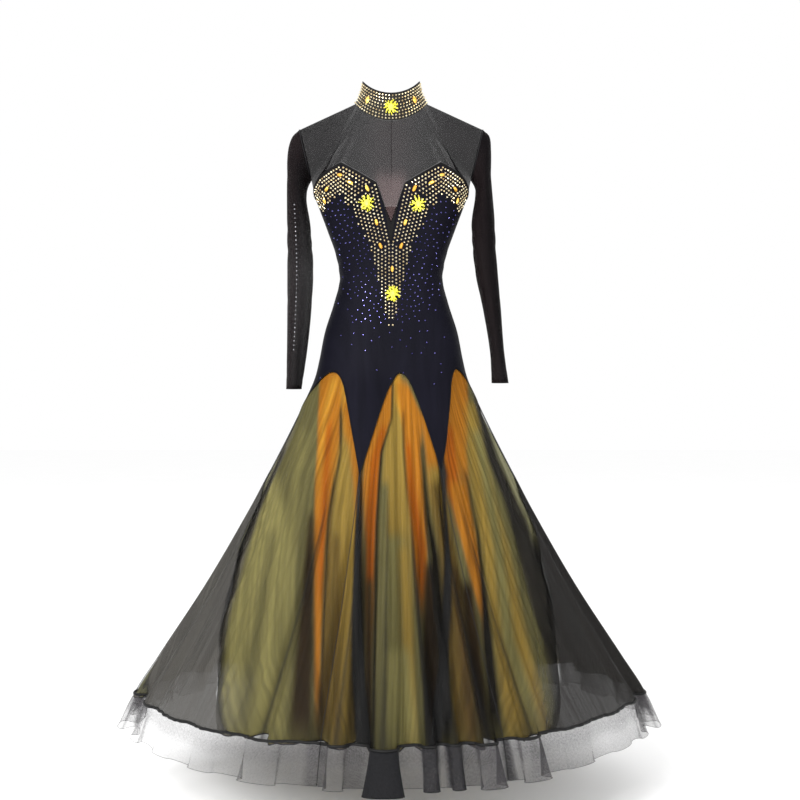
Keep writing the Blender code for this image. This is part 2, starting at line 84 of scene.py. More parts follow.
CREASES = (              # soft pulls at the waist: angle, height, half width in degrees, half height, tilt, depth
    (-74, -0.372, 30, 0.010, 0.00030, 0.0016), (-66, -0.405, 26, 0.009, -0.00022, 0.0013),
    (76, -0.366, 32, 0.010, -0.00030, 0.0016), (68, -0.398, 24, 0.009, 0.00026, 0.0013),
    (-80, -0.345, 22, 0.008, 0.00040, 0.0011), (82, -0.340, 24, 0.008, -0.00036, 0.0011),
    (-46, -0.235, 20, 0.012, -0.0009, 0.0010), (46, -0.235, 20, 0.012, 0.0009, 0.0010),
    (150, -0.380, 34, 0.010, 0.00026, 0.0016), (206, -0.372, 34, 0.011, -0.00026, 0.0016),
    (164, -0.420, 26, 0.010, -0.0002, 0.0012), (194, -0.345, 28, 0.009, 0.0002, 0.0011),
    (-30, -0.610, 12, 0.030, 0.0020, 0.0010), (34, -0.605, 12, 0.030, -0.0020, 0.0010),
)
LEAST_FILLED = 0.32
BODICE_NAVY, BODICE_BLACK = (0.0068, 0.0066, 0.0120, 1), (0.0014, 0.0014, 0.0024, 1)


def smooth_step(value):
    value = np.clip(value, 0.0, 1.0)
    return value * value * (3 - 2 * value)


def smooth_curve(table, column, key):
    """One column of a table whose first column falls, read at key on a smooth curve."""
    rows = np.array([row[:column + 1] for row in table], float)
    keys, values = -rows[:, 0], rows[:, column]
    place = np.clip(-np.asarray(key, float), keys[0], keys[-1])
    i = np.clip(np.searchsorted(keys, place, side="right") - 1, 0, len(keys) - 2)
    before, after = np.maximum(i - 1, 0), np.minimum(i + 2, len(keys) - 1)
    step = keys[i + 1] - keys[i]
    t = (place - keys[i]) / step
    low = (values[i + 1] - values[before]) / (keys[i + 1] - keys[before]) * step
    high = (values[after] - values[i]) / (keys[after] - keys[i]) * step
    return (values[i] * (2 * t**3 - 3 * t**2 + 1) + low * (t**3 - 2 * t**2 + t)
            + values[i + 1] * (3 * t**2 - 2 * t**3) + high * (t**3 - t**2))


def turned(angle, centre):
    """Angle from centre, between -180 and 180."""
    return (np.asarray(angle, float) - centre + 180) % 360 - 180


def bumps(angle, table):
    total = 0.0
    for centre, half, height in table:
        away = np.minimum(np.abs(turned(angle, centre)) / half, 1)
        total = total + height * (0.5 + 0.5 * np.cos(pi * away))
    return total


def fold_share(z):
    share = np.clip((FOLD_TOP_Z - z) / (FOLD_TOP_Z - HEM_Z), 0, None)
    return share**FOLD_GROWTH + BAND_FLARE * np.clip((HEM_Z - z) / (HEM_Z - BAND_Z), 0, None)


def lean(angle, z):
    """Degrees by which a fold's head is wider than its neck."""
    share = np.clip((LEAN_TOP_Z - z) / (LEAN_TOP_Z - BAND_Z), 0, None) ** LEAN_GROWTH
    total = 0.0
    for centre, half, height in FOLDS:
        away = turned(angle, centre)
        over = FOLD_LEAN * half * min(1.0, height / FOLD_FULL)
        total = total + np.where(np.abs(away) < half, over * np.sin(2 * pi * away / half), 0)
    return share * total


def body(angle, z, inset=0.0, leaning=True):
    """Points on the outer face of the dress, or inset towards its axis."""
    angle, z, inset = np.broadcast_arrays(np.asarray(angle, float), np.asarray(z, float), inset)
    side, front, back = (smooth_curve(FORM, column, z) for column in (1, 2, 3))
    power = ROUND_TOP + (1 - ROUND_TOP) * smooth_step((ROUND_FROM_Z - z) / (ROUND_FROM_Z - ROUND_TO_Z))
    across, along = np.sin(np.radians(angle)), np.cos(np.radians(angle))
    x = side * np.abs(across) ** power * np.sign(across)
    y = -np.where(along >= 0, front, back) * np.abs(along) ** power * np.sign(along)
    cup = BUST_OUT * np.exp(-((np.abs(x) - BUST_X) / BUST_WIDE) ** 2 - ((z - BUST_Z) / BUST_TALL) ** 2)
    y = y - np.where(along > 0, cup, 0)
    reach = np.hypot(x, y)
    grow = (reach + fold_share(z) * bumps(angle, FOLDS + (DIP,)) - inset) / reach
    turn = np.radians(lean(angle, z)) if leaning else np.zeros_like(x)
    x, y = x * grow, y * grow
    return np.stack((x * np.cos(turn) - y * np.sin(turn), x * np.sin(turn) + y * np.cos(turn), z), -1)


def outward(angle, z):
    """Unit normals of the outer face."""
    across = body(angle + 0.4, z) - body(angle - 0.4, z)
    up = body(angle, z + 0.002) - body(angle, z - 0.002)
    normal = np.cross(across, up)
    return normal / np.linalg.norm(normal, axis=-1, keepdims=True)


def top_edge(angle):
    return np.interp(np.abs(turned(angle, 0)), *zip(*NECKLINE))


def low_edge(angle):
    """Height of the zigzag seam between the bodice's points and the godets."""
    height = np.full(np.shape(angle), POINT_Z, float)
    for _, peak, left, right, _, _, top, tip_left, tip_right, round_left, round_right in GODETS:
        away = turned(angle, peak)
        share = np.abs(away) / np.where(away < 0, peak - left, right - peak)
        tip = np.where(away < 0, tip_left, tip_right)
        flank = 1 / np.where(away < 0, round_left, round_right)
        height = np.where(share <= 1.0001, top + (tip - top) * np.minimum(share, 1) ** flank, height)
    return height


def spread(start, end, step, corners=()):
    """Angles from start to end through the corners, evenly between them."""
    fixed = [start] + sorted({c for c in corners if start < c < end}) + [end]
    angles = [start]
    for low, high in zip(fixed, fixed[1:]):
        count = max(1, round((high - low) / step))
        angles += [low + (high - low) * (i + 1) / count for i in range(count)]
    return np.array(angles)


def corner_angles():
    return [a + full for row in GODETS for a in row[1:4] for full in (-360, 0, 360)] + [
        side * a + full for a, _ in NECKLINE for side in (-1, 1) for full in (0, 360)]


def grid_faces(rows, columns, closed=False):
    j, i = np.meshgrid(np.arange(rows - 1), np.arange(columns if closed else columns - 1), indexing="ij")
    right = (i + 1) % columns
    quads = np.stack((j * columns + i, (j + 1) * columns + i, (j + 1) * columns + right, j * columns + right), -1)
    return quads.reshape(-1, 4)


def new_piece(name, mesh, material):
    """Object in the scene that rides on the dress, with the given material."""
    piece = bpy.data.objects.new(name, mesh)
    bpy.context.scene.collection.objects.link(piece)
    if material is not None:
        mesh.materials.append(material)
    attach(piece, "root")
    return piece


def cloth(name, points, material, wall=WALL, closed=False, values=None, dye=None):
    """Thin wall of cloth through a grid of points, with its weave laid out in metres."""
    rows, columns = points.shape[:2]
    mesh = bpy.data.meshes.new(name)
    mesh.from_pydata(points.reshape(-1, 3).tolist(), [], grid_faces(rows, columns, closed).tolist())
    down = np.concatenate((np.zeros((1, columns)), np.linalg.norm(np.diff(points, axis=0), axis=2).cumsum(0)))
    ring = np.concatenate((points, points[:, :1]), 1) if closed else points
    across = np.concatenate((np.zeros((rows, 1)), np.linalg.norm(np.diff(ring, axis=1), axis=2).cumsum(1)), 1)
    across = across - across[:, across.shape[1] // 2][:, None]
    flat = np.stack((across[:, :columns], -down), -1).reshape(-1, 2)
    layer = mesh.uv_layers.new(name="weave")
    corner = np.zeros(len(mesh.loops), np.int32)
    mesh.loops.foreach_get("vertex_index", corner)
    spots = flat[corner]
    if closed:
        spots = spots.reshape(-1, 4, 2)
        last = np.arange(len(spots)) % columns == columns - 1
        lengths = across[:, columns]
        rows_of = np.arange(len(spots)) // columns
        spots[last, 2, 0] = lengths[rows_of[last] + 1]
        spots[last, 3, 0] = lengths[rows_of[last]]
        spots = spots.reshape(-1, 2)
    layer.data.foreach_set("uv", spots.astype(np.float32).ravel())
    for key, value in (values or {}).items():
        made = mesh.attributes.new(key, "FLOAT", "POINT")
        made.data.foreach_set("value", np.broadcast_to(value, (rows, columns)).astype(np.float32).ravel())
    # A colour given here is stored per point; on the coloured godets it holds painted shade along with the cloth's
    # colour.
    if dye is not None:
        made = mesh.attributes.new("dye", "FLOAT_COLOR", "POINT")
        full = np.concatenate((dye, np.ones((rows, columns, 1))), -1)
        made.data.foreach_set("color", full.astype(np.float32).ravel())
    mesh.shade_smooth()
    piece = new_piece(name, mesh, material)
    thick = piece.modifiers.new("wall", "SOLIDIFY")
    thick.thickness, thick.offset = wall, -1
    wide = float(across[:, -1].max() - across[:, 0].min())
    long = float(down[-1].max())
    a, b, c, d = (points.reshape(-1, 3)[grid_faces(rows, columns, closed)[:, k]] for k in range(4))
    area = float(0.5 * np.linalg.norm(np.cross(c - a, d - b), axis=1).sum())
    piece["cut"] = (wide, min(long, area / wide / LEAST_FILLED), min(area, wide * long))
    return piece


def state_cut(piece):
    """Reads what the piece was cut to: its widest row, its area, and its longest column, and takes it off the
    piece.

    A pointed piece is stated shorter than its longest column, see LEAST_FILLED.
    """
    wide, long, area = piece["cut"]
    min(area, wide * long)
    del piece["cut"]


class Wire:
    """A shader socket that can stand in a sum: each operator adds a Math node to its tree."""

    def __init__(self, tree, socket=None):
        self.tree, self.socket = tree, socket

    def node(self, kind, settings=(), sockets=(), out=0):
        """Any other node: its settings first, then the values or links of its sockets."""
        made = self.tree.nodes.new(kind)
        for key, value in dict(settings).items():
            if key == "stops":
                ramp = made.color_ramp
                while len(ramp.elements) < len(value):
                    ramp.elements.new(1.0)
                for element, (place, colour) in zip(ramp.elements, value):
                    element.position, element.color = place, colour
            else:
                setattr(made, key, value)
        for key, value in dict(sockets).items():
            if isinstance(value, Wire):
                self.tree.links.new(value.socket, made.inputs[key])
            else:
                made.inputs[key].default_value = value
        return Wire(self.tree, made.outputs[out])

    def maths(self, operation, first, second=0.0):
        return self.node("ShaderNodeMath", {"operation": operation}, {0: first, 1: second})

    def __add__(self, other): return self.maths("ADD", self, other)
    def __radd__(self, other): return self.maths("ADD", other, self)
    def __sub__(self, other): return self.maths("SUBTRACT", self, other)
    def __rsub__(self, other): return self.maths("SUBTRACT", other, self)
    def __mul__(self, other): return self.maths("MULTIPLY", self, other)
    def __rmul__(self, other): return self.maths("MULTIPLY", other, self)
    def __pow__(self, other): return self.maths("POWER", self, other)

    def mix(self, factor, low, high, blend="MIX"):
        """Mix of two colours."""
        made = self.node("ShaderNodeMix", {"data_type": "RGBA", "blend_type": blend}, {0: factor, 6: low, 7: high})
        return Wire(self.tree, made.socket.node.outputs[2])


def finish(name, **fixed):
    """Material whose shader has these fixed values. Gives it and a wire to build its nodes from."""
    made = bpy.data.materials.new(name)
    made.use_nodes = True
    shader = made.node_tree.nodes["Principled BSDF"]
    for key, value in fixed.items():
        shader.inputs[key.replace("_", " ").title().replace("Ior", "IOR")].default_value = value
    return made, Wire(made.node_tree)


def feed(material, **wires):
    """Links wires to the shader's sockets."""
    shader = material.node_tree.nodes["Principled BSDF"]
    for key, wire in wires.items():
        material.node_tree.links.new(wire.socket, shader.inputs[key.replace("_", " ").title()])


def weave(start, across, along):
    """The piece's own layout in metres, scaled to so many repeats a metre each way."""
    spots = start.node("ShaderNodeTexCoord", out=2)
    return start.node("ShaderNodeMapping", {}, {"Vector": spots, "Scale": (across, along, 1)})


def noise(start, where, scale, detail=2.0):
    return start.node("ShaderNodeTexNoise", {}, {"Vector": where, "Scale": scale, "Detail": detail})


def threads(start, across, along):
    """Warp and weft as two sets of soft ridges, 0 to 1."""
    where = weave(start, across, along)
    split = start.node("ShaderNodeSeparateXYZ", {}, {0: where})
    warp = start.maths("SINE", split * (2 * pi))
    weft = start.maths("SINE", Wire(start.tree, split.socket.node.outputs[1]) * (2 * pi))
    return (warp * weft) * 0.5 + 0.5


def bump(start, height, distance, strength=1.0):
    return start.node("ShaderNodeBump", {}, {"Height": height, "Distance": distance, "Strength": strength})


stretch, start = finish("stretch_cloth", specular_ior_level=0.03, sheen_weight=0.006, sheen_roughness=0.5)
cloud = noise(start, weave(start, 9, 5), 1.0, 3.0)
grain = noise(start, weave(start, 900, 420), 1.0, 1.0)
feed(stretch, base_color=start.mix(cloud, BODICE_BLACK, BODICE_NAVY), roughness=0.44 + grain * 0.18,
     normal=bump(start, threads(start, 1100, 700) + grain, 0.00008))


CREASE_TAPER, CREASE_RIDGE = 1.5, 0.6


def creased(angle, z):
    """How deep the pulls in the cloth press in at a place."""
    total = 0.0
    for at, height, half, tall, tilt, depth in CREASES:
        away = turned(angle, at)
        rise = (z - height - tilt * away) / tall
        valley, ridge = np.exp(-rise**2), np.exp(-(rise - 2) ** 2) * CREASE_RIDGE
        total = total + depth * np.exp(-(away / half * CREASE_TAPER) ** 2) * (valley - ridge)
    return total


bodice = {}
for name, left, right in BODICE_PANELS:
    angle = spread(left + 0.09, right - 0.09, BODICE_STEP, corner_angles())[None, :]
    share = np.linspace(0, 1, BODICE_ROWS + 1)[:, None]
    high, low = top_edge(angle) - SEAM, low_edge(angle) + SEAM
    z = high + (low - high) * share
    bodice[name] = cloth(name + "_cloth", body(angle, z, creased(angle, z)), stretch)
    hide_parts(name)


# Binding: narrow matte black elastic, folded over the sweetheart edge and run on a little below its notch.
# It is stitched flat on the front panel, so it stands out by its own thickness only.
BINDING_WIDE, NOTCH_BINDING, BINDING_LIFT, BINDING_WALL = 0.006, 0.044, 0.0005, 0.0009
NOTCH_TAPER, NOTCH_POWER, BINDING_ROUND = 0.0053, 1.5, 0.0007
BINDING_PROFILE = (      # share of the width, share of the rise
    (0, 0.0002), (0.15, 1), (0.5, 1.25), (0.85, 1), (1, 0.1),
)
binding_cloth, start = finish("binding", specular_ior_level=0.12, roughness=0.8)
rib = threads(start, 600, 900)
feed(binding_cloth, base_color=start.mix(rib, (0.002, 0.002, 0.002, 1), (0.006, 0.0055, 0.006, 1)),
     normal=bump(start, rib, 0.0001))
angle = spread(-89.5, 89.5, 0.8, corner_angles())
run = np.linalg.norm(np.gradient(body(angle, top_edge(angle)), angle, axis=0), axis=1)
slope = np.gradient(top_edge(angle), angle) / run
drop = BINDING_WIDE * np.sqrt(1 + slope**2)
drop = np.minimum(np.maximum(drop, NOTCH_BINDING - NOTCH_TAPER * np.abs(angle) ** NOTCH_POWER), NOTCH_BINDING)
rows = []
for share, lift in BINDING_PROFILE:
    z = top_edge(angle) - SEAM - drop * share
    rows.append(body(angle, z) + outward(angle, z) * (BINDING_LIFT + BINDING_ROUND * lift))
binding = cloth("neckline_binding_strip", np.array(rows), binding_cloth, wall=BINDING_WALL)
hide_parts("neckline_binding")


# Coloured godets: flared panels of orange organza let in between the bodice's points, gathered a little at
# their peaks. Several folds of cloth lie over each other, so the colour turns from orange to olive in strips.
LAYER_GAP_TOP, LAYER_GAP_FREE, LAYER_GAP_HEM = 0.0005, 0.0055, 0.0100
LAYER_DROP, LAYER_TURN, CAD_WALL = 0.004, 0.5, 0.0012
VALLEYS = (              # where the coloured cloth falls back in deep folds: angle, half width, depth
    (331, 4.0, 0.030), (345, 3.0, 0.036), (353, 3.5, 0.040), (10, 3.5, 0.045), (22, 3.5, 0.040), (31, 3, 0.016),
    (112, 5, 0.036), (132, 5, 0.042), (166, 5, 0.036), (187, 5, 0.045), (226, 5, 0.040),
    (244, 5, 0.036), (262, 5, 0.040),
)
GODET_STEP, GODET_ROWS = 0.42, 84
RIPPLES = (              # how many there are, where they start, height
    (1.9, 0.3, 0.0016), (3.1, 1.7, 0.0020), (4.7, 4.1, 0.0014), (7.3, 2.2, 0.0020), (11.9, 0.9, 0.0022),
)
WANDER, WANDER_RATE, RIPPLE_RATE = 1.4, 5, 11
UNDER_BODICE, UNDER_VEIL, SHIFT_INSET = 0.006, 0.0016, 0.00015
RAGGED, RAGGED_LONG, RAGGED_SHORT = 0.0045, 7, 21
CALM_EDGE = 7            # degrees beside a seam over which the small folds fade in
SIDE_FROM, SIDE_OVER, SIDE_INSET = 0.93, 0.05, 0.0042    # at the sides the cloth lies close under the veil
BEHIND_FROM, BEHIND_OVER, BEHIND_SCALE = 0.94, 0.2, 0.9
EDGE_SHADE, EDGE_WIDE, DYE_AND_SHADE_MOST = 0.45, 1.6, 0.86
COVER_NEAR, COVER_LOSS, FAR_FROM, FAR_OVER = 0.97, 0.22, 0.22, 0.10
TONES = {                # colours of the cloth as they are seen through the veil over it; dark is painted shade, the shadow in the gaps between the folds
    "orange": (0.445, 0.166, 0.016), "bright": (0.540, 0.266, 0.030), "deep": (0.385, 0.098, 0.007),
    "ochre": (0.325, 0.215, 0.045), "sage": (0.330, 0.290, 0.105),
    "olive": (0.225, 0.198, 0.072), "moss": (0.150, 0.133, 0.052),
    "tan": (0.165, 0.104, 0.024), "umber": (0.120, 0.070, 0.021), "brown": (0.030, 0.017, 0.006),
    "dark": (0.010, 0.008, 0.005), "pale": (0.400, 0.385, 0.225), "grey": (0.190, 0.172, 0.130),
    "slate": (0.030, 0.027, 0.022),
}
LIGHT = 2.0              # how much brighter than its own shade the cloth stands in this studio
# Strips: tone, softness of the edges, then height, left and right edge down the strip, in metres
STRIPS = (
    ("moss", 0.020, ((-0.60, -0.30, 0.30), (-1.26, -0.34, 0.34))),
    ("sage", 0.020, ((-0.78, -0.256, -0.246), (-0.90, -0.290, -0.200), (-1.02, -0.310, -0.162),
                     (-1.26, -0.360, -0.170))),
    ("olive", 0.018, ((-0.70, -0.192, -0.176), (-0.90, -0.208, -0.186), (-1.20, -0.225, -0.200))),
    ("moss", 0.014, ((-0.78, -0.182, -0.166), (-1.00, -0.188, -0.168), (-1.26, -0.198, -0.170))),
    ("moss", 0.016, ((-0.90, -0.246, -0.232), (-1.26, -0.290, -0.262))),
    ("grey", 0.008, ((-0.70, -0.26, -0.206), (-0.764, -0.30, -0.232), (-0.849, -0.34, -0.268),
                     (-0.946, -0.40, -0.296),
                     (-1.066, -0.45, -0.322), (-1.143, -0.50, -0.330), (-1.26, -0.55, -0.346))),
    ("slate", 0.006, ((-0.74, -0.232, -0.222), (-0.849, -0.280, -0.267), (-0.946, -0.320, -0.302),
                      (-1.066, -0.385, -0.350), (-1.20, -0.450, -0.410))),
    ("pale", 0.007, ((-0.70, -0.30, -0.224), (-0.764, -0.34, -0.244), (-0.849, -0.40, -0.282),
                     (-0.946, -0.45, -0.322),
                     (-1.066, -0.50, -0.395), (-1.143, -0.55, -0.437), (-1.26, -0.60, -0.480))),
    ("ochre", 0.008, ((-0.62, 0.004, 0.022), (-0.74, -0.013, 0.028), (-0.85, -0.020, 0.040),
                      (-0.92, -0.024, 0.044))),
    ("moss", 0.006, ((-0.80, -0.024, -0.004), (-1.00, -0.026, -0.008), (-1.26, -0.028, 0.000))),
    ("olive", 0.010, ((-0.90, -0.010, 0.020), (-1.05, -0.006, 0.034), (-1.26, -0.004, 0.050))),
    ("ochre", 0.010, ((-0.92, 0.016, 0.038), (-1.05, 0.022, 0.044), (-1.26, 0.030, 0.050))),
    ("sage", 0.012, ((-1.10, -0.006, 0.034), (-1.26, -0.004, 0.050))),
    ("moss", 0.008, ((-1.02, 0.046, 0.062), (-1.26, 0.054, 0.076))),
    ("orange", 0.004, ((-0.57, -0.150, -0.095), (-0.674, -0.151, -0.1045), (-0.740, -0.149, -0.102),
                       (-0.807, -0.1515, -0.1128), (-0.872, -0.1506, -0.1232), (-0.924, -0.150, -0.127),
                       (-1.10, -0.142, -0.129), (-1.21, -0.137, -0.130))),
    ("bright", 0.010, ((-0.59, -0.124, -0.108), (-0.66, -0.140, -0.130), (-0.80, -0.148, -0.140))),
    ("deep", 0.008, ((-0.68, -0.131, -0.121), (-0.80, -0.136, -0.124), (-1.00, -0.141, -0.130))),
    ("bright", 0.008, ((-0.57, -0.105, -0.070), (-0.66, -0.100, -0.076), (-0.72, -0.096, -0.076))),
    ("orange", 0.010, ((-0.64, -0.102, -0.072), (-0.740, -0.086, -0.064), (-0.807, -0.075, -0.055),
                       (-0.90, -0.076, -0.058), (-1.00, -0.072, -0.060))),
    ("ochre", 0.012, ((-0.72, -0.104, -0.084), (-0.80, -0.110, -0.076), (-0.872, -0.114, -0.066),
                      (-1.05, -0.112, -0.060),
                      (-1.26, -0.110, -0.056))),
    ("tan", 0.010, ((-0.90, -0.114, -0.098), (-1.05, -0.110, -0.094), (-1.26, -0.106, -0.088))),
    ("orange", 0.004, ((-0.575, -0.010, 0.004), (-0.674, -0.0300, 0.0005), (-0.740, -0.051, -0.0205),
                       (-0.807, -0.054, -0.0245), (-0.872, -0.051, -0.0280))),
    ("deep", 0.005, ((-0.69, -0.020, -0.008), (-0.76, -0.040, -0.0235), (-0.872, -0.048, -0.0285),
                     (-0.924, -0.046, -0.030),
                     (-1.06, -0.045, -0.033))),
    ("umber", 0.005, ((-0.98, -0.047, -0.032), (-1.26, -0.046, -0.034))),
    ("bright", 0.007, ((-0.575, 0.002, 0.016), (-0.640, 0.010, 0.036), (-0.70, 0.030, 0.052))),
    ("orange", 0.005, ((-0.60, 0.012, 0.034), (-0.674, 0.0225, 0.0655), (-0.740, 0.029, 0.060),
                       (-0.807, 0.032, 0.065),
                       (-0.872, 0.040, 0.070), (-0.924, 0.045, 0.072), (-1.00, 0.050, 0.068))),
    ("deep", 0.006, ((-0.72, 0.030, 0.040), (-0.82, 0.036, 0.050), (-0.924, 0.052, 0.068),
                     (-1.02, 0.056, 0.066))),
    ("orange", 0.006, ((-0.66, 0.060, 0.080), (-0.740, 0.070, 0.100), (-0.800, 0.074, 0.112))),
    ("ochre", 0.010, ((-0.77, 0.074, 0.104), (-0.86, 0.080, 0.112))),
    ("tan", 0.008, ((-0.80, 0.078, 0.106), (-0.86, 0.084, 0.114), (-0.94, 0.094, 0.130), (-1.10, 0.106, 0.146),
                    (-1.26, 0.120, 0.160))),
    ("umber", 0.010, ((-0.96, 0.118, 0.130), (-1.10, 0.130, 0.146), (-1.26, 0.142, 0.160))),
    ("brown", 0.006, ((-0.95, 0.068, 0.090), (-1.10, 0.062, 0.092), (-1.26, 0.068, 0.096))),
    ("bright", 0.010, ((-0.572, 0.126, 0.150), (-0.63, 0.126, 0.150), (-0.68, 0.132, 0.148))),
    ("orange", 0.005, ((-0.565, 0.120, 0.160), (-0.674, 0.114, 0.164), (-0.740, 0.102, 0.156),
                       (-0.807, 0.110, 0.160))),
    ("deep", 0.006, ((-0.69, 0.108, 0.128), (-0.807, 0.112, 0.136), (-0.86, 0.124, 0.150))),
    ("orange", 0.005, ((-0.80, 0.118, 0.152), (-0.872, 0.130, 0.164), (-0.924, 0.142, 0.172),
                       (-1.00, 0.160, 0.180), (-1.06, 0.176, 0.184))),
    ("ochre", 0.012, ((-0.64, 0.158, 0.180), (-0.74, 0.156, 0.192), (-0.84, 0.166, 0.212),
                      (-0.93, 0.180, 0.236),
                      (-1.08, 0.196, 0.262), (-1.26, 0.214, 0.300))),
    ("olive", 0.010, ((-0.70, 0.170, 0.190), (-0.80, 0.186, 0.205), (-0.93, 0.205, 0.225),
                      (-1.10, 0.215, 0.240),
                      (-1.26, 0.262, 0.290))),
    ("brown", 0.008, ((-0.99, 0.136, 0.158), (-1.10, 0.146, 0.172), (-1.26, 0.162, 0.186))),
    ("slate", 0.008, ((-0.62, 0.174, 0.180), (-0.683, 0.186, 0.202), (-0.76, 0.201, 0.228),
                      (-0.84, 0.231, 0.262),
                      (-0.93, 0.254, 0.300), (-1.02, 0.274, 0.370), (-1.14, 0.306, 0.430),
                      (-1.26, 0.323, 0.480))),
    ("pale", 0.008, ((-0.60, 0.180, 0.26), (-0.683, 0.204, 0.28), (-0.76, 0.228, 0.30), (-0.84, 0.264, 0.34),
                     (-0.90, 0.290, 0.36))),
    ("grey", 0.012, ((-0.88, 0.296, 0.40), (-1.02, 0.372, 0.45), (-1.26, 0.470, 0.56))),
    # The strips in the dark tone are painted shade: the shadow that falls into the gaps between the folds.
    ("dark", 0.0035, ((-0.655, -0.1045, -0.100), (-0.740, -0.102, -0.0985), (-0.807, -0.1128, -0.108))),
    ("tan", 0.0040, ((-0.78, -0.1128, -0.106), (-0.872, -0.1232, -0.114), (-0.924, -0.127, -0.113),
                     (-1.26, -0.130, -0.108))),
    ("dark", 0.0020, ((-0.80, -0.1128, -0.110), (-0.872, -0.1232, -0.1205), (-1.26, -0.130, -0.127))),
    ("brown", 0.0090, ((-0.86, -0.162, -0.152), (-1.00, -0.172, -0.146), (-1.26, -0.184, -0.142))),
    ("dark", 0.0030, ((-0.585, 0.003, 0.0055), (-0.674, 0.0005, 0.0040), (-0.740, -0.0205, -0.0160),
                      (-0.807, -0.0245, -0.0205), (-0.872, -0.0280, -0.024), (-1.26, -0.032, -0.026))),
    ("brown", 0.0040, ((-0.66, 0.024, 0.0275), (-0.740, 0.025, 0.0285), (-0.84, 0.032, 0.036))),
    ("dark", 0.0060, ((-0.72, 0.062, 0.065), (-0.807, 0.0655, 0.073), (-0.872, 0.070, 0.080),
                      (-0.94, 0.0785, 0.094),
                      (-1.10, 0.086, 0.106), (-1.26, 0.096, 0.118))),
    ("dark", 0.0050, ((-0.78, 0.150, 0.1535), (-0.84, 0.160, 0.165), (-0.90, 0.170, 0.176),
                      (-0.99, 0.176, 0.184),
                      (-1.08, 0.175, 0.193), (-1.26, 0.186, 0.208))),
    ("dark", 0.0060, ((-0.80, -0.064, -0.057), (-1.00, -0.062, -0.050), (-1.26, -0.060, -0.046))),
)
GREY_VEIL = (            # share of light that one face of the veil lets through above the coloured layer
    (-0.57, 0.975), (-0.74, 0.96), (-0.85, 0.92), (-1.00, 0.87), (-1.25, 0.82),
)


def veil(z):
    return np.interp(-z, [-a for a, _ in GREY_VEIL], [b for _, b in GREY_VEIL])


def painted(x, z):
    """Colour of the cloth at a place, strip over strip."""
    colour = np.ones(x.shape + (3,)) * np.array(TONES["moss"])
    for tone, soft, rows in STRIPS:
        key = [-row[0] for row in rows]
        left, right = (np.interp(-z, key, [row[k] for row in rows]) for k in (1, 2))
        inside = smooth_step((x - left) / soft / 2 + 0.5) * smooth_step((right - x) / soft / 2 + 0.5)
        ends = smooth_step((rows[0][0] - z) / 0.03 + 0.5) * smooth_step((z - rows[-1][0]) / 0.11 + 0.5)
        inside = (inside * ends)[..., None]
        colour = colour * (1 - inside) + inside * np.array(TONES[tone])
    return colour


def ripple(angle, z, share):
    """Small uneven folds that wander as they run down."""
    total = 0.0
    for count, (rate, start_at, height) in enumerate(RIPPLES):
        wander = (WANDER * np.sin(z * (WANDER_RATE + 2 * count) + start_at * 2)
                  * np.sin(np.radians(angle) * (3 + count)))
        total = total + height * np.sin(np.radians(angle) * rate * RIPPLE_RATE + start_at * 7 + wander)
    return total * share


def coloured_depth(share, down, angle):
    free = LAYER_GAP_FREE * smooth_step(share * 8)
    return CAD_WALL + LAYER_GAP_TOP + free + down * (LAYER_GAP_HEM + bumps(angle, VALLEYS))


organza, start = finish("orange_organza", specular_ior_level=0.03)
# The vertex colour holds the cloth's colour together with painted shade: dark strips in the gaps between folds and
# a darkening along each panel's edges.
dye = start.node("ShaderNodeVertexColor", {"layer_name": "dye"})
streak = noise(start, weave(start, 70, 2.6), 1.0, 4.0)
fine = noise(start, weave(start, 420, 14), 1.0, 2.0)
shade = streak * 1.7 + 0.15
streaks = start.node("ShaderNodeCombineColor", {}, {0: shade, 1: shade, 2: shade})
lines = start.mix(1.0, dye, streaks, "MULTIPLY")
yarn = threads(start, 1400, 1400)
cover = start.node("ShaderNodeAttribute", {"attribute_name": "cover"}, out=2)
feed(organza, base_color=start.mix(fine * 0.35, lines, start.mix(1.0, lines, (0.62, 0.66, 0.6, 1), "MULTIPLY")),
     roughness=0.52 + fine * 0.16, alpha=cover, normal=bump(start, streak + yarn * 0.05, 0.0009, 0.7))

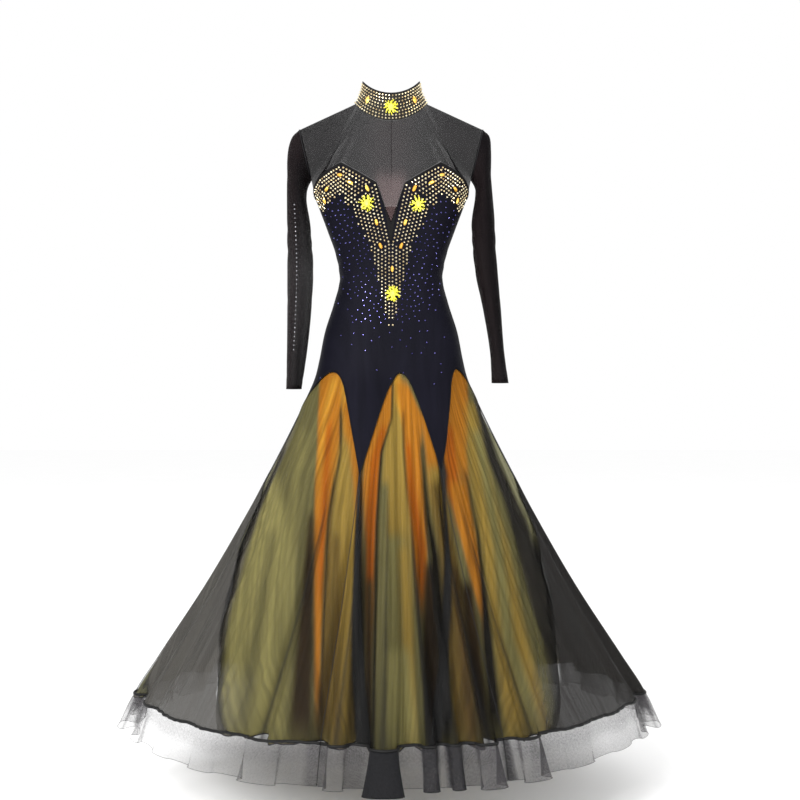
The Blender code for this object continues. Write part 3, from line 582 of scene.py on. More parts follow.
coloured = {}
coloured_hems = []
for name, peak, left, right, hem_left, hem_right, *_ in GODETS:
    angle = spread(left + LAYER_TURN, right - LAYER_TURN, GODET_STEP, [peak, peak + 360])[None, :]
    share = np.linspace(0, 1, GODET_ROWS + 1)[:, None]
    top = low_edge(angle) + UNDER_BODICE
    ragged = RAGGED + (RAGGED * np.sin(np.radians(angle) * RAGGED_SHORT + 1)
                       * np.sin(np.radians(angle) * RAGGED_LONG))
    z = top + (HEM_Z - LAYER_DROP - ragged - top) * share
    down = np.clip((POINT_Z - z) / (POINT_Z - HEM_Z), 0, None)
    hang = hem_left + (hem_right - hem_left) * (angle - angle[0, 0]) / (angle[0, -1] - angle[0, 0])
    shift = (hang - angle) * down
    at = angle + shift
    inset = coloured_depth(share, down, at) + SHIFT_INSET * np.abs(shift)
    edge = np.minimum(angle - angle[0, 0], angle[0, -1] - angle)
    calm = smooth_step(edge / CALM_EDGE) * 0.9 + 0.1
    gathered = smooth_step(share * 4) * (0.35 + 0.65 * np.clip(down, 0, 1)) * calm
    inset = inset + UNDER_VEIL + ripple(at, z, gathered)
    sideways = np.abs(np.sin(np.radians(at)))
    side = smooth_step((sideways - SIDE_FROM) / SIDE_OVER)[..., None]
    close = body(at, z, SIDE_INSET * smooth_step(share * 12))
    points = body(at, z, inset, leaning=False) * (1 - side) + close * side
    x = points[..., 0]
    behind = (smooth_step((BEHIND_FROM - sideways) / BEHIND_OVER) * (points[..., 1] > 0))[..., None]
    seen = painted(x, z) * (1 - behind) + painted(-x * BEHIND_SCALE, z) * behind
    # Painted shade: the colour is darkened towards each panel's side edges, where it turns into the shadowed fold
    # between the panels.
    seen = seen * (EDGE_SHADE + (1 - EDGE_SHADE) * smooth_step(edge / EDGE_WIDE))[..., None]
    full = np.clip(seen / (veil(z) ** 2)[..., None] / LIGHT, 0, DYE_AND_SHADE_MOST)
    far = smooth_step((np.abs(x) - FAR_FROM) / FAR_OVER)
    coloured[name] = cloth(f"godet_{name}_cloth", points, organza,
                           values={"cover": COVER_NEAR - COVER_LOSS * far}, dye=full)
    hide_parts("godet_" + name)
    coloured_hems.append((name, points[-1]))


# Veil: one sheer layer of black organza over each coloured godet, sewn into the same seam.
# It is wider than the colour below it, so it stands alone at the sides, and it ends in a thick rolled hem.
VEIL_STEP, VEIL_ROWS = 0.5, 84
ALONE = 0.27             # share of light through one face where no colour lies behind
GAPS = (                 # folds between the coloured panels, darker and denser, partly as double cloth and partly as painted shade: angle at the top and at the hem, half width
    (-14, -5.1, 1.5), (24, 8.9, 1.3), (150, 150, 1.8), (210, 210, 1.8),
)
GAP_DARK, GAP_SOFT, CREST_DARK, CREST_HIGH = 0.88, 0.8, 0.42, 0.012
MARGIN_FRONT, MARGIN_SIDE, LINED_SOFT = -0.3, 3.7, 1.2   # how far inside its edge the colour backs the veil
LEAST_FACING, FACING_POWER = 0.30, 0.8
# The left and right greys of the veil are painted light: lighter on the left, where the key light falls, darker on
# the right.
VEIL_BLACK, VEIL_LIT_LEFT, VEIL_SHADED_RIGHT = (0.006, 0.006, 0.006, 1), (0.058, 0.055, 0.050, 1), (0.016, 0.015, 0.014, 1)
CREST_WIDE = 0.45        # degrees over which the cloth lies double along a fold
HEM_ROLL, COLOURED_ROLL = 0.0029, 0.0012

sheer, start = finish("black_organza", specular_ior_level=0.03, roughness=0.6)
cover = start.node("ShaderNodeAttribute", {"attribute_name": "cover"}, out=2)
streak = noise(start, weave(start, 110, 4), 1.0, 3.0)
yarn = threads(start, 1500, 1500)
right = start.node("ShaderNodeAttribute", {"attribute_name": "right"}, out=2)
alone = start.node("ShaderNodeAttribute", {"attribute_name": "alone"}, out=2)
# Painted light: where the veil stands alone its grey is lighter on the left and darker on the right; in the gaps
# between the panels it is kept black, painted shade.
grey = start.mix(alone * (0.35 + streak), VEIL_BLACK, start.mix(right, VEIL_LIT_LEFT, VEIL_SHADED_RIGHT))
feed(sheer, base_color=grey, alpha=cover * (0.84 + streak * 0.32),
     normal=bump(start, streak + yarn * 0.05, 0.0006, 0.6))

overlay = {}
hem_lines = []
for name, peak, left, right, *_ in GODETS:
    angle = spread(left + 0.05, right - 0.05, VEIL_STEP, [peak, peak + 360])[None, :]
    share = np.linspace(0, 1, VEIL_ROWS + 1)[:, None]
    top = low_edge(angle) - SEAM
    z = top + (HEM_Z - top) * share
    down = np.clip((POINT_Z - z) / (POINT_Z - HEM_Z), 0, None)
    beside = smooth_step((np.abs(np.sin(np.radians(angle))) - 0.90) / 0.05)
    wave = 0.45 * ripple(angle * 1.07 + 20, z, smooth_step(share * 3) * down * (1 - 0.8 * beside))
    points = body(angle, z, 0.0004 + wave)
    radial = points[..., :2] / np.linalg.norm(points[..., :2], axis=2, keepdims=True)
    run = np.gradient(points, axis=1)
    fall = np.gradient(points, axis=0)
    normal = np.cross(fall, run)
    normal = normal / np.maximum(np.linalg.norm(normal, axis=2, keepdims=True), 1e-9)
    facing = np.clip(np.abs((normal[..., :2] * radial).sum(2)), LEAST_FACING, 1)
    hung = angle + lean(angle, z)
    margin = MARGIN_FRONT + MARGIN_SIDE * smooth_step((np.abs(np.sin(np.radians(hung))) - 0.35) / 0.2)
    lined = 0
    fallen = np.clip(down, 0, 1)
    for _, _, seam_left, seam_right, hem_left, hem_right, *_ in GODETS:
        edge_left = seam_left + (hem_left - seam_left) * fallen
        edge_right = seam_right + (hem_right - seam_right) * fallen
        middle, half = (edge_left + edge_right) / 2, (edge_right - edge_left) / 2
        lined = np.maximum(lined, smooth_step((half - np.abs(turned(hung, middle))) / LINED_SOFT - margin))
    through = veil(z) * lined + ALONE * (1 - lined)
    crest = sum(np.exp(-(turned(angle, at) / CREST_WIDE) ** 2) for at, _, high in FOLDS if high > CREST_HIGH)
    folded = 0
    for seam, at, half in GAPS:
        away = np.abs(turned(hung, seam + (at - seam) * fallen))
        wide = half * (0.3 + 0.7 * fallen)
        folded = folded + smooth_step((wide - away) / GAP_SOFT + 0.5) * np.clip(down * 5, 0, 1)
    through = through * (1 - GAP_DARK * folded)
    through = through ** (1 / facing ** FACING_POWER) * (1 - CREST_DARK * crest * np.clip(down * 3, 0, 1))
    overlay[name] = cloth(f"overlay_{name}_cloth", points, sheer,
                          values={"cover": 1 - through, "right": smooth_step(points[..., 0] / 0.3 + 0.5),
                                  "alone": np.clip(1 - lined + 0.10, 0, 1) * (1 - 0.9 * folded)})
    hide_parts("overlay_" + name)
    hem_lines.append((name, points[-1]))


def tube(name, line, radius, material, closed=False, sides=6):
    """Round roll or thread laid along a line of points, with closed ends."""
    line = np.asarray(line)
    if closed:
        along = np.roll(line, -1, 0) - np.roll(line, 1, 0)
    else:
        along = np.gradient(line, axis=0)
    along = along / np.linalg.norm(along, axis=1, keepdims=True)
    side = np.cross(along, (0, 0, 1.0))
    short = np.linalg.norm(side, axis=1) < 0.05
    side[short] = np.cross(along[short], (0, 1.0, 0))
    side = side / np.linalg.norm(side, axis=1, keepdims=True)
    up = np.cross(side, along)
    turn = 2 * pi * np.arange(sides) / sides
    across, upward = np.cos(turn)[None, :, None] * side[:, None], np.sin(turn)[None, :, None] * up[:, None]
    ring = line[:, None] + radius * (across + upward)
    points = ring.reshape(-1, 3).tolist()
    if closed:
        quads = grid_faces(len(line) + 1, sides, True) % len(points)
        faces = quads.tolist()
    else:
        faces = grid_faces(len(line), sides, True).tolist()
        count = len(points)
        faces += [list(range(sides)), list(range(count - 1, count - 1 - sides, -1))]
    mesh = bpy.data.meshes.new(name)
    mesh.from_pydata(points, [], faces)
    mesh.shade_smooth()
    return new_piece(name, mesh, material)


roll_cloth, start = finish("rolled_hem", specular_ior_level=0.15, roughness=0.55)
place = start.node("ShaderNodeTexCoord", out=3)
twist = start.node("ShaderNodeTexNoise", {}, {"Vector": place, "Scale": 420.0, "Detail": 2.0})
feed(roll_cloth, base_color=start.mix(twist, (0.002, 0.002, 0.002, 1), (0.008, 0.008, 0.008, 1)),
     normal=bump(start, twist, 0.0004))
veil_rolls = []
for name, line in hem_lines:
    veil_rolls.append(tube(f"overlay_{name}_roll", line - [0, 0, 0.0004], HEM_ROLL, roll_cloth))
godet_rolls = [tube(f"godet_{name}_roll", line, COLOURED_ROLL, roll_cloth)
               for name, line in coloured_hems]


# Hem band: stiff open net of nylon, a hand's breadth wide, sewn under the rolled hem of the veil.
# It holds the skirt out in deep box folds; its edges show as fine dark lines.
BAND_STEP, BAND_ROWS = 0.3, 16
BAND_THROUGH_TOP, BAND_THROUGH_EDGE = 0.76, 0.90
NET_LIGHT, NET_DARK = (0.10, 0.093, 0.10, 1), (0.008, 0.008, 0.009, 1)
NET_LINES = 330
NET_FACING, NET_CREST, NET_CREST_WIDE, NET_CREST_HIGH, NET_EDGE = 0.25, 0.20, 0.7, 0.02, 0.00035
BAND_DARK = (            # where the net is darker and denser: at its folds, as double net and painted shade, and broadly on the right, painted shade away from the key light: angle, half width, softness, depth
    (-0.7, 2.0, 0.6, 0.97), (8.2, 1.9, 0.7, 0.62), (12.9, 1.9, 0.7, 0.62), (24.2, 0.5, 0.6, 0.45),
    (-14.5, 2.2, 2.0, 0.25), (-7.0, 1.4, 1.6, 0.22), (19, 4.5, 3.0, 0.18), (40, 14, 14, 0.12),
    (70, 12, 12, 0.12),
)
net, start = finish("horsehair_net", specular_ior_level=0.08, roughness=0.6)
where = weave(start, NET_LINES, NET_LINES)
split = start.node("ShaderNodeSeparateXYZ", {}, {0: where})
u, v = split, Wire(start.tree, split.socket.node.outputs[1])
one = start.maths("ABSOLUTE", start.maths("SINE", (u + v) * pi))
two = start.maths("ABSOLUTE", start.maths("SINE", (u - v) * pi))
mesh_lines = start.maths("MAXIMUM", one ** 6.0, two ** 6.0)
cover = start.node("ShaderNodeAttribute", {"attribute_name": "cover"}, out=2)
blot = noise(start, weave(start, 60, 14), 1.0, 2.0)
speckle = noise(start, weave(start, 240, 240), 1.0, 2.0)
folded = start.node("ShaderNodeAttribute", {"attribute_name": "folded"}, out=2)
# Painted shade: the net's colour turns dark in its folds and over the right side.
feed(net, base_color=start.mix(blot * (1 - folded), NET_DARK, NET_LIGHT),
     alpha=cover * (0.72 + mesh_lines * 0.34) * (0.45 + speckle * 1.1) + folded * 0.2,
     normal=bump(start, mesh_lines, 0.0004))
band = {}
band_edges = []
for name, _, left, right, *_ in GODETS:
    angle = spread(left + 0.05, right - 0.05, BAND_STEP)[None, :]
    z = np.linspace(HEM_Z - 0.0008, BAND_Z, BAND_ROWS + 1)[:, None]
    points = body(angle, z, 0.0002)
    radial = points[..., :2] / np.linalg.norm(points[..., :2], axis=2, keepdims=True)
    normal = np.cross(np.gradient(points, axis=0), np.gradient(points, axis=1))
    normal = normal / np.maximum(np.linalg.norm(normal, axis=2, keepdims=True), 1e-9)
    facing = np.clip(np.abs((normal[..., :2] * radial).sum(2)), NET_FACING, 1)
    drop = (HEM_Z - z) / (HEM_Z - BAND_Z)
    through = BAND_THROUGH_TOP + (BAND_THROUGH_EDGE - BAND_THROUGH_TOP) * smooth_step((drop - 0.25) / 0.4)
    crest = sum(np.exp(-(turned(angle, at) / NET_CREST_WIDE) ** 2)
                for at, _, high in FOLDS if high > NET_CREST_HIGH)
    dark = sum(depth * smooth_step((half - np.abs(turned(angle, at))) / soft + 0.5)
               for at, half, soft, depth in BAND_DARK)
    through = through ** (1 / facing) * (1 - NET_CREST * crest) * (1 - np.clip(dark, 0, 0.97))
    band[name] = cloth(f"hem_band_{name}_net", points, net,
                       values={"cover": 1 - through, "folded": np.clip(dark * 1.3, 0, 1)})
    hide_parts("hem_band_" + name)
    band_edges.append(tube(f"hem_band_{name}_edge", points[-1] + [0, 0, 0.0004], NET_EDGE, roll_cloth))


# Yoke: sheer black stretch mesh over the chest, shoulders and upper back, with a seam on each shoulder.
# One front and two back pieces, sewn to the collar above, the sleeves and the bodice's upper edge.
NECK_SIDE, NECK_FRONT, NECK_BACK, NECK_FRONT_Z, NECK_BACK_Z, NECK_DIP = 0.077, 0.064, 0.062, -0.048, 0.010, 1.5
SHOULDER_X, SHOULDER_Z, UNDERARM_X, UNDERARM_Z, ARMHOLE_DEEP = 0.196, -0.056, 0.171, -0.164, 0.046
RIDGE_GAP, CHEST_FULL, BACK_FULL, ARM_SHARE = 0.0012, 0.18, 0.13, 62
PIT_FULL, PIT_WIDE = 0.055, 9.0     # the cloth spans the hollow beside the arm: how far, over how many degrees
YOKE_ROWS, ARM_STEPS = 36, 30
YOKE_CENTRE, YOKE_SIDE, MESH_WALL = 0.51, 0.455, 0.0008    # share of light through one face
SIDE_FACING, SIDE_COVER = 0.40, 0.12     # the mesh is stretched thin where it turns to the side under the arm
mesh_cloth, start = finish("sheer_mesh", specular_ior_level=0.04, roughness=0.7)
cover = start.node("ShaderNodeAttribute", {"attribute_name": "cover"}, out=2)
tone = start.node("ShaderNodeAttribute", {"attribute_name": "tone"}, out=2)
knit = threads(start, 900, 900)
cloud = noise(start, weave(start, 30, 12), 1.0, 3.0)
feed(mesh_cloth, base_color=start.mix(tone, (0.0024, 0.0018, 0.0022, 1), (0.072, 0.048, 0.048, 1)),
     alpha=cover * (0.96 + cloud * 0.08), normal=bump(start, knit, 0.00005))


def neck_point(angle, out=0.0):
    across, along = sin(radians(angle)), cos(radians(angle))
    depth = NECK_FRONT if along >= 0 else NECK_BACK
    height = NECK_FRONT_Z * along**NECK_DIP if along >= 0 else NECK_BACK_Z * -along
    return np.array(((NECK_SIDE + out) * across, -(depth + out) * along, height))


def armhole_point(side, turn, sign):
    high = (1 + cos(radians(turn))) / 2
    x = UNDERARM_X + (SHOULDER_X - UNDERARM_X) * high
    z = UNDERARM_Z + (SHOULDER_Z - UNDERARM_Z) * high
    return np.array((side * x, sign * max(RIDGE_GAP, ARMHOLE_DEEP * sin(radians(turn))), z))


def yoke_grid(pairs, fullness, sign):
    """Cloth from the neck seam to the outer edge, fuller over the chest or the shoulder blades."""
    columns = []
    for neck_angle, edge in pairs:
        begin = neck_point(neck_angle)
        if abs(begin[1]) < RIDGE_GAP:
            begin[1] = sign * RIDGE_GAP
        begin[2] -= SEAM / 2
        bulge = fullness * np.linalg.norm(edge - begin) * abs(cos(radians(neck_angle)))
        beside = min(abs(neck_angle), 180 - abs(neck_angle)) - ARM_SHARE
        bulge = bulge + PIT_FULL * np.exp(-(beside / PIT_WIDE) ** 2)
        middle = (begin + edge) / 2 + np.array((0, sign * bulge, 0))
        t = np.linspace(0, 1, YOKE_ROWS + 1)[:, None]
        columns.append(begin * (1 - t) ** 2 + middle * 2 * t * (1 - t) + edge * t * t)
    return np.stack(columns, 1)


turns = [180 * i / ARM_STEPS for i in range(ARM_STEPS)]
necks = [ARM_SHARE + (90 - ARM_SHARE) * (1 - t / 180) for t in turns]
low_front = [(a * ARM_SHARE / 90, body(a, top_edge(a) + SEAM)) for a in spread(-89, 89, 1.3, corner_angles())]
front_pairs = [(-n, armhole_point(-1, t, -1)) for n, t in zip(necks, turns)] + low_front
front_pairs += [(n, armhole_point(1, t, -1)) for n, t in zip(reversed(necks), reversed(turns))]
back_pairs = [(180 - n, armhole_point(1, t, 1)) for n, t in zip(necks, turns)]
back_pairs += [(180 - (180 - a) * ARM_SHARE / 90, body(a, top_edge(a) + SEAM)) for a in spread(91, 179.85, 1.6)]
left_pairs = [(-a, p * (-1, 1, 1)) for a, p in reversed(back_pairs)]
yoke = {}
for name, pairs, fullness, sign in (("yoke_front", front_pairs, CHEST_FULL, -1),
                                    ("yoke_back_right", back_pairs, BACK_FULL, 1),
                                    ("yoke_back_left", left_pairs, BACK_FULL, 1)):
    points = yoke_grid(pairs, fullness, sign)
    x, z = points[..., 0], points[..., 2]
    through = YOKE_CENTRE + (YOKE_SIDE - YOKE_CENTRE) * smooth_step((np.abs(x) - 0.05) / 0.10)
    normal = np.cross(np.gradient(points, axis=0), np.gradient(points, axis=1))
    sideways = np.abs(normal[..., 0]) / np.maximum(np.linalg.norm(normal, axis=2), 1e-9)
    through = 1 - (1 - through) * np.clip((1 - sideways) / SIDE_FACING, SIDE_COVER, 1)
    notch = smooth_step((-0.150 - z) / 0.04) * smooth_step((0.045 - np.abs(x)) / 0.03) * (points[..., 1] < 0)
    tone = 0.10 * smooth_step((0.07 - np.abs(x)) / 0.06) + 0.82 * notch
    yoke[name] = cloth(name + "_mesh", points, mesh_cloth, wall=MESH_WALL,
                       values={"cover": 1 - through, "tone": tone})
    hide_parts(name)


# Sleeves: long and close, the same sheer mesh cut double, set into the armholes and plain at the wrist.
# They hang slack from the shoulder, so soft pulls run round the elbow and shallow flutes run down.
SLEEVE_SET = 0.0012
SLEEVE_LEFT = (          # outer edge x and z, inner edge x and z, half depth, middle y
    (0.212, -0.071, 0.1755, -0.172, 0.049, 0.000), (0.2215, -0.102, 0.1790, -0.183, 0.051, 0.000),
    (0.2236, -0.160, 0.1815, -0.208, 0.050, -0.001), (0.2236, -0.245, 0.1730, -0.262, 0.047, -0.003),
    (0.2230, -0.350, 0.1660, -0.358, 0.044, -0.008), (0.2230, -0.440, 0.1700, -0.444, 0.041, -0.014),
    (0.2230, -0.530, 0.1790, -0.532, 0.038, -0.022), (0.2236, -0.613, 0.1905, -0.613, 0.036, -0.030),
)
SLEEVE_RIGHT = (
    (0.211, -0.070, 0.1755, -0.171, 0.049, 0.000), (0.2145, -0.100, 0.1790, -0.180, 0.050, 0.000),
    (0.2150, -0.160, 0.1800, -0.200, 0.050, -0.001), (0.2220, -0.245, 0.1720, -0.262, 0.047, -0.003),
    (0.2280, -0.350, 0.1790, -0.358, 0.044, -0.008), (0.2350, -0.440, 0.1970, -0.444, 0.041, -0.014),
    (0.2410, -0.530, 0.2110, -0.532, 0.038, -0.022), (0.2500, -0.600, 0.2140, -0.600, 0.037, -0.030),
)
SLEEVE_SIDES, SLEEVE_ROWS = 72, 110
FLUTES = ((0.6, 0.35, 0.0013), (2.0, 0.30, 0.0015), (3.3, 0.42, 0.0012), (4.4, 0.28, 0.0014), (5.5, 0.36, 0.0012))
PULLS = ((0.34, 0.020, 0.9, 0.0016), (0.41, 0.018, -0.7, 0.0018), (0.47, 0.022, 0.8, 0.0014),
         (0.12, 0.020, 0.9, 0.0012), (0.62, 0.020, -0.5, 0.0011), (0.90, 0.014, 0.4, 0.0010),
         (0.95, 0.012, -0.4, 0.0012))


def sleeve_grid(side, sections):
    """Rings from the armhole to the wrist on a smooth curve, with flutes and pulls pressed in."""
    first = (SHOULDER_X, SHOULDER_Z, UNDERARM_X, UNDERARM_Z, ARMHOLE_DEEP, 0.0)
    rows = [first] + list(sections)
    reach = [0.0]
    for a, b in zip(rows, rows[1:]):
        reach.append(reach[-1] + hypot(b[0] - a[0] + b[2] - a[2], b[1] - a[1] + b[3] - a[3]) / 2)
    table = [(-r / reach[-1],) + row for r, row in zip(reach, rows)]
    share = np.linspace(0, 1, SLEEVE_ROWS + 1)[:, None]
    outer_x, outer_z, inner_x, inner_z, deep, middle = (smooth_curve(table, k, -share) for k in range(1, 7))
    turn = 2 * pi * np.arange(SLEEVE_SIDES)[None, :] / SLEEVE_SIDES
    press = 0.0
    for at, wide, depth in FLUTES:
        away = (turn - at - 0.5 * np.sin(share * 5 + at) + pi) % (2 * pi) - pi
        press = press + depth * np.exp(-(away / wide) ** 2)
    for at, wide, tilt, depth in PULLS:
        away = (share - at - 0.03 * tilt * np.sin(turn + at * 9)) / wide
        press = press + depth * np.exp(-away**2) * (0.6 + 0.4 * np.sin(turn * 2 + at * 20))
    press = press * smooth_step(share * 10)
    high = (1 + np.cos(turn)) / 2
    middle_x, middle_z = (outer_x + inner_x) / 2, (outer_z + inner_z) / 2
    shrink = 1 - press / 0.035
    x = middle_x + (inner_x + (outer_x - inner_x) * high - middle_x) * shrink + SLEEVE_SET * (share < 0.001)
    z = middle_z + (inner_z + (outer_z - inner_z) * high - middle_z) * shrink
    y = middle + side * deep * np.sin(turn) * shrink
    return np.stack((side * x, y, z), -1), turn, share


sleeves = {}
for name, side, sections, shoulder, elbow, wrist in (("sleeve_left", -1, SLEEVE_LEFT, 0.17, 0.41, 0.33),
                                                     ("sleeve_right", 1, SLEEVE_RIGHT, 0.12, 0.17, 0.28)):
    points, turn, share = sleeve_grid(side, sections)
    light = 0.030 * np.sin(turn * 3 + 1.0 + share * 2) + 0.035 * np.sin(turn * 7 + share * 5)
    cuff = smooth_step((share - 0.985) / 0.006)
    arm = np.interp(share, (0, 0.5, 1), (shoulder, elbow, wrist)) + light * (1 - cuff) - 0.12 * cuff
    tone = 0.05 + 0.04 * np.sin(turn * 2 + 0.5)
    sleeves[name] = cloth(name + "_mesh", points, mesh_cloth, wall=MESH_WALL, closed=True,
                          values={"cover": 1 - arm, "tone": tone})
    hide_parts(name)


# Collar: a stand collar of black stretch cloth, backed so that it stays up, and set closely with gold stones.
# It closes at the centre back, where its two ends meet.
COLLAR_TOP_SIDE, COLLAR_TOP_FRONT, COLLAR_TOP_BACK = 0.060, 0.050, 0.049
COLLAR_TOP_SIDE_Z, COLLAR_TOP_FRONT_Z, COLLAR_TOP_BACK_Z = 0.047, 0.012, 0.028
COLLAR_PINCH, COLLAR_WALL, COLLAR_ROLL = 0.0035, 0.0018, 0.0013


def collar_top(angle):
    across, along = sin(radians(angle)), cos(radians(angle))
    depth = COLLAR_TOP_FRONT if along >= 0 else COLLAR_TOP_BACK
    target = COLLAR_TOP_FRONT_Z if along >= 0 else COLLAR_TOP_BACK_Z
    height = COLLAR_TOP_SIDE_Z + (target - COLLAR_TOP_SIDE_Z) * abs(along) ** NECK_DIP
    return np.array((COLLAR_TOP_SIDE * across, -depth * along, height))


def collar_point(angle, share, out=0.0):
    """Point on the collar's face, share 0 at its upper edge and 1 at its seam."""
    point = collar_top(angle) * (1 - share) + neck_point(angle) * share
    away = out - COLLAR_PINCH * 4 * share * (1 - share)
    return point + np.array((sin(radians(angle)), -cos(radians(angle)), 0)) * away


collar_cloth, start = finish("collar_cloth", specular_ior_level=0.15, sheen_weight=0.1, roughness=0.55)
grain = noise(start, weave(start, 700, 500), 1.0, 2.0)
feed(collar_cloth, base_color=start.mix(grain, (0.002, 0.002, 0.002, 1), (0.010, 0.008, 0.006, 1)),
     normal=bump(start, grain + threads(start, 900, 700), 0.0001))
points = np.array([[collar_point(a, s, COLLAR_WALL) for a in np.linspace(-179.7, 179.7, 121)]
                   for s in np.linspace(0, 0.985, 13)])
collar = cloth("collar_band", points, collar_cloth, wall=COLLAR_WALL)
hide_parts("collar")
trim = [collar_point(a, 0, COLLAR_WALL / 2) + [0, 0, 0.0005] for a in np.linspace(-179.5, 179.5, 160)]
collar_edge = tube("collar_edge_roll", trim, COLLAR_ROLL, binding_cloth)


# Gold stones: round flat-backed glass with a foil back, glued one by one in rows along the sweetheart edge,
# down to a point below the waist, and all round the collar. Navettes and clusters are set among them.
STONE_PITCH, STONE_HALF = 0.0074, 0.0023
COLLAR_PITCH, COLLAR_STONE_HALF, COLLAR_STONE_ROWS = 0.0067, 0.0020, 8
GOLD_EDGE = (            # how far down the gold reaches: distance from the centre line, height
    (0.000, -0.490), (0.004, -0.482), (0.010, -0.462), (0.018, -0.420), (0.030, -0.374), (0.040, -0.330),
    (0.056, -0.290), (0.072, -0.262), (0.088, -0.234), (0.101, -0.216), (0.121, -0.212), (0.142, -0.243),
    (0.180, -0.250),
)
NAVETTES = (             # distance from the centre line, height, half width, half length, lean from upright
    (0.106, -0.168, 0.0036, 0.0072, 78), (0.084, -0.186, 0.0036, 0.0072, 66),
    (0.134, -0.194, 0.0036, 0.0072, -52),
    (0.139, -0.216, 0.0036, 0.0072, 0), (0.049, -0.198, 0.0036, 0.0070, 30),
    (0.030, -0.266, 0.0034, 0.0068, 12),
    (0.0215, -0.314, 0.0034, 0.0066, 22),
)
CLUSTERS = ((-0.0500, -0.2275), (0.0565, -0.2290), (0.0040, -0.4145))


def front_angle(x, z):
    """Angle round the dress of a place on the front, by its distance to the side."""
    tries = np.linspace(-90, 90, 721)
    return float(np.interp(x, body(tries, np.full(tries.shape, z))[:, 0], tries))


def unrolled(z):
    """Angles and the way round the front from the centre to each."""
    tries = np.linspace(0, 90, 181)
    line = body(tries, np.full(tries.shape, z))
    return tries, np.concatenate(([0], np.linalg.norm(np.diff(line, axis=0), axis=1).cumsum()))


stone_tree = bpy.data.node_groups.new("set_stones", "GeometryNodeTree")
for label, kind in (("Places", "NodeSocketGeometry"), ("Facets", "NodeSocketInt"), ("Table", "NodeSocketFloat"),
                    ("Crown", "NodeSocketFloat"), ("Finish", "NodeSocketMaterial")):
    stone_tree.interface.new_socket(label, in_out="INPUT", socket_type=kind)
stone_tree.interface.new_socket("Stones", in_out="OUTPUT", socket_type="NodeSocketGeometry")


def grow(tree, kind, settings=(), sockets=(), out=0):
    made = tree.nodes.new(kind)
    for key, value in dict(settings).items():
        setattr(made, key, value)
    for key, value in dict(sockets).items():
        if isinstance(value, bpy.types.NodeSocket):
            tree.links.new(value, made.inputs[key])
        else:
            made.inputs[key].default_value = value
    return made.outputs[out]


inlet = stone_tree.nodes.new("NodeGroupInput")
low_cut = grow(stone_tree, "GeometryNodeMeshCone", {"fill_type": "NGON"},
               {"Vertices": inlet.outputs["Facets"], "Radius Top": inlet.outputs["Table"], "Radius Bottom": 1.0,
                "Depth": inlet.outputs["Crown"]})
facing = grow(stone_tree, "GeometryNodeInputNamedAttribute", {"data_type": "FLOAT_VECTOR"}, {"Name": "facing"})
length = grow(stone_tree, "GeometryNodeInputNamedAttribute", {"data_type": "FLOAT_VECTOR"}, {"Name": "length"})
size = grow(stone_tree, "GeometryNodeInputNamedAttribute", {"data_type": "FLOAT_VECTOR"}, {"Name": "size"})
stand = grow(stone_tree, "FunctionNodeAlignRotationToVector", {"axis": "Z"}, {"Vector": facing})
turn_to = grow(stone_tree, "FunctionNodeAlignRotationToVector", {"axis": "Y", "pivot_axis": "Z"},
               {"Rotation": stand, "Vector": length})
set_on = grow(stone_tree, "GeometryNodeInstanceOnPoints", {},
              {"Points": inlet.outputs["Places"], "Instance": low_cut, "Rotation": turn_to, "Scale": size})
real = grow(stone_tree, "GeometryNodeRealizeInstances", {}, {"Geometry": set_on})
finished = grow(stone_tree, "GeometryNodeSetMaterial", {}, {"Geometry": real, "Material": inlet.outputs["Finish"]})
outlet = stone_tree.nodes.new("NodeGroupOutput")
stone_tree.links.new(finished, outlet.inputs[0])


def set_stones(name, stones, material, facets=8, table=0.52, crown=0.9):
    """Stones at given places. Each is (point, facing, length, half wide, half long, thick, glint)."""
    mesh = bpy.data.meshes.new(name)
    mesh.from_pydata([tuple(s[0]) for s in stones], [], [])
    for key, pick in (("facing", lambda s: s[1]), ("length", lambda s: s[2]), ("size", lambda s: s[3:6])):
        made = mesh.attributes.new(key, "FLOAT_VECTOR", "POINT")
        made.data.foreach_set("vector", np.array([pick(s) for s in stones], np.float32).ravel())
    made = mesh.attributes.new("glint", "FLOAT", "POINT")
    made.data.foreach_set("value", np.array([s[6] for s in stones], np.float32))
    piece = bpy.data.objects.new(name, mesh)
    bpy.context.scene.collection.objects.link(piece)
    setter = piece.modifiers.new("set", "NODES")
    setter.node_group = stone_tree
    for socket in stone_tree.interface.items_tree:
        given = {"Facets": facets, "Table": table, "Crown": crown, "Finish": material}.get(socket.name)
        if socket.in_out == "INPUT" and given is not None:
            setter[socket.identifier] = given
    graph = bpy.context.evaluated_depsgraph_get()
    made = bpy.data.meshes.new_from_object(piece.evaluated_get(graph), preserve_all_data_layers=True,
                                           depsgraph=graph)
    piece.modifiers.clear()
    piece.data = made
    made.name = name
    made.shade_flat()
    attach(piece, "root")
    return piece


def stone_on_body(angle, z, half_wide, half_long, tilt, rng, thick=0.45, lift=0.0001):
    """A stone on the bodice. tilt turns its length away from upright, in degrees."""
    point, normal = body(angle, z), outward(angle, z)
    side = np.cross((0, 0, 1.0), normal)
    side = side / np.linalg.norm(side)
    up = np.cross(normal, side)
    along = up * cos(radians(tilt)) + side * sin(radians(tilt))
    high = half_wide * thick * 2
    return (point + normal * (lift + high * 0.45), normal, along, half_wide, half_long, high, rng.random())


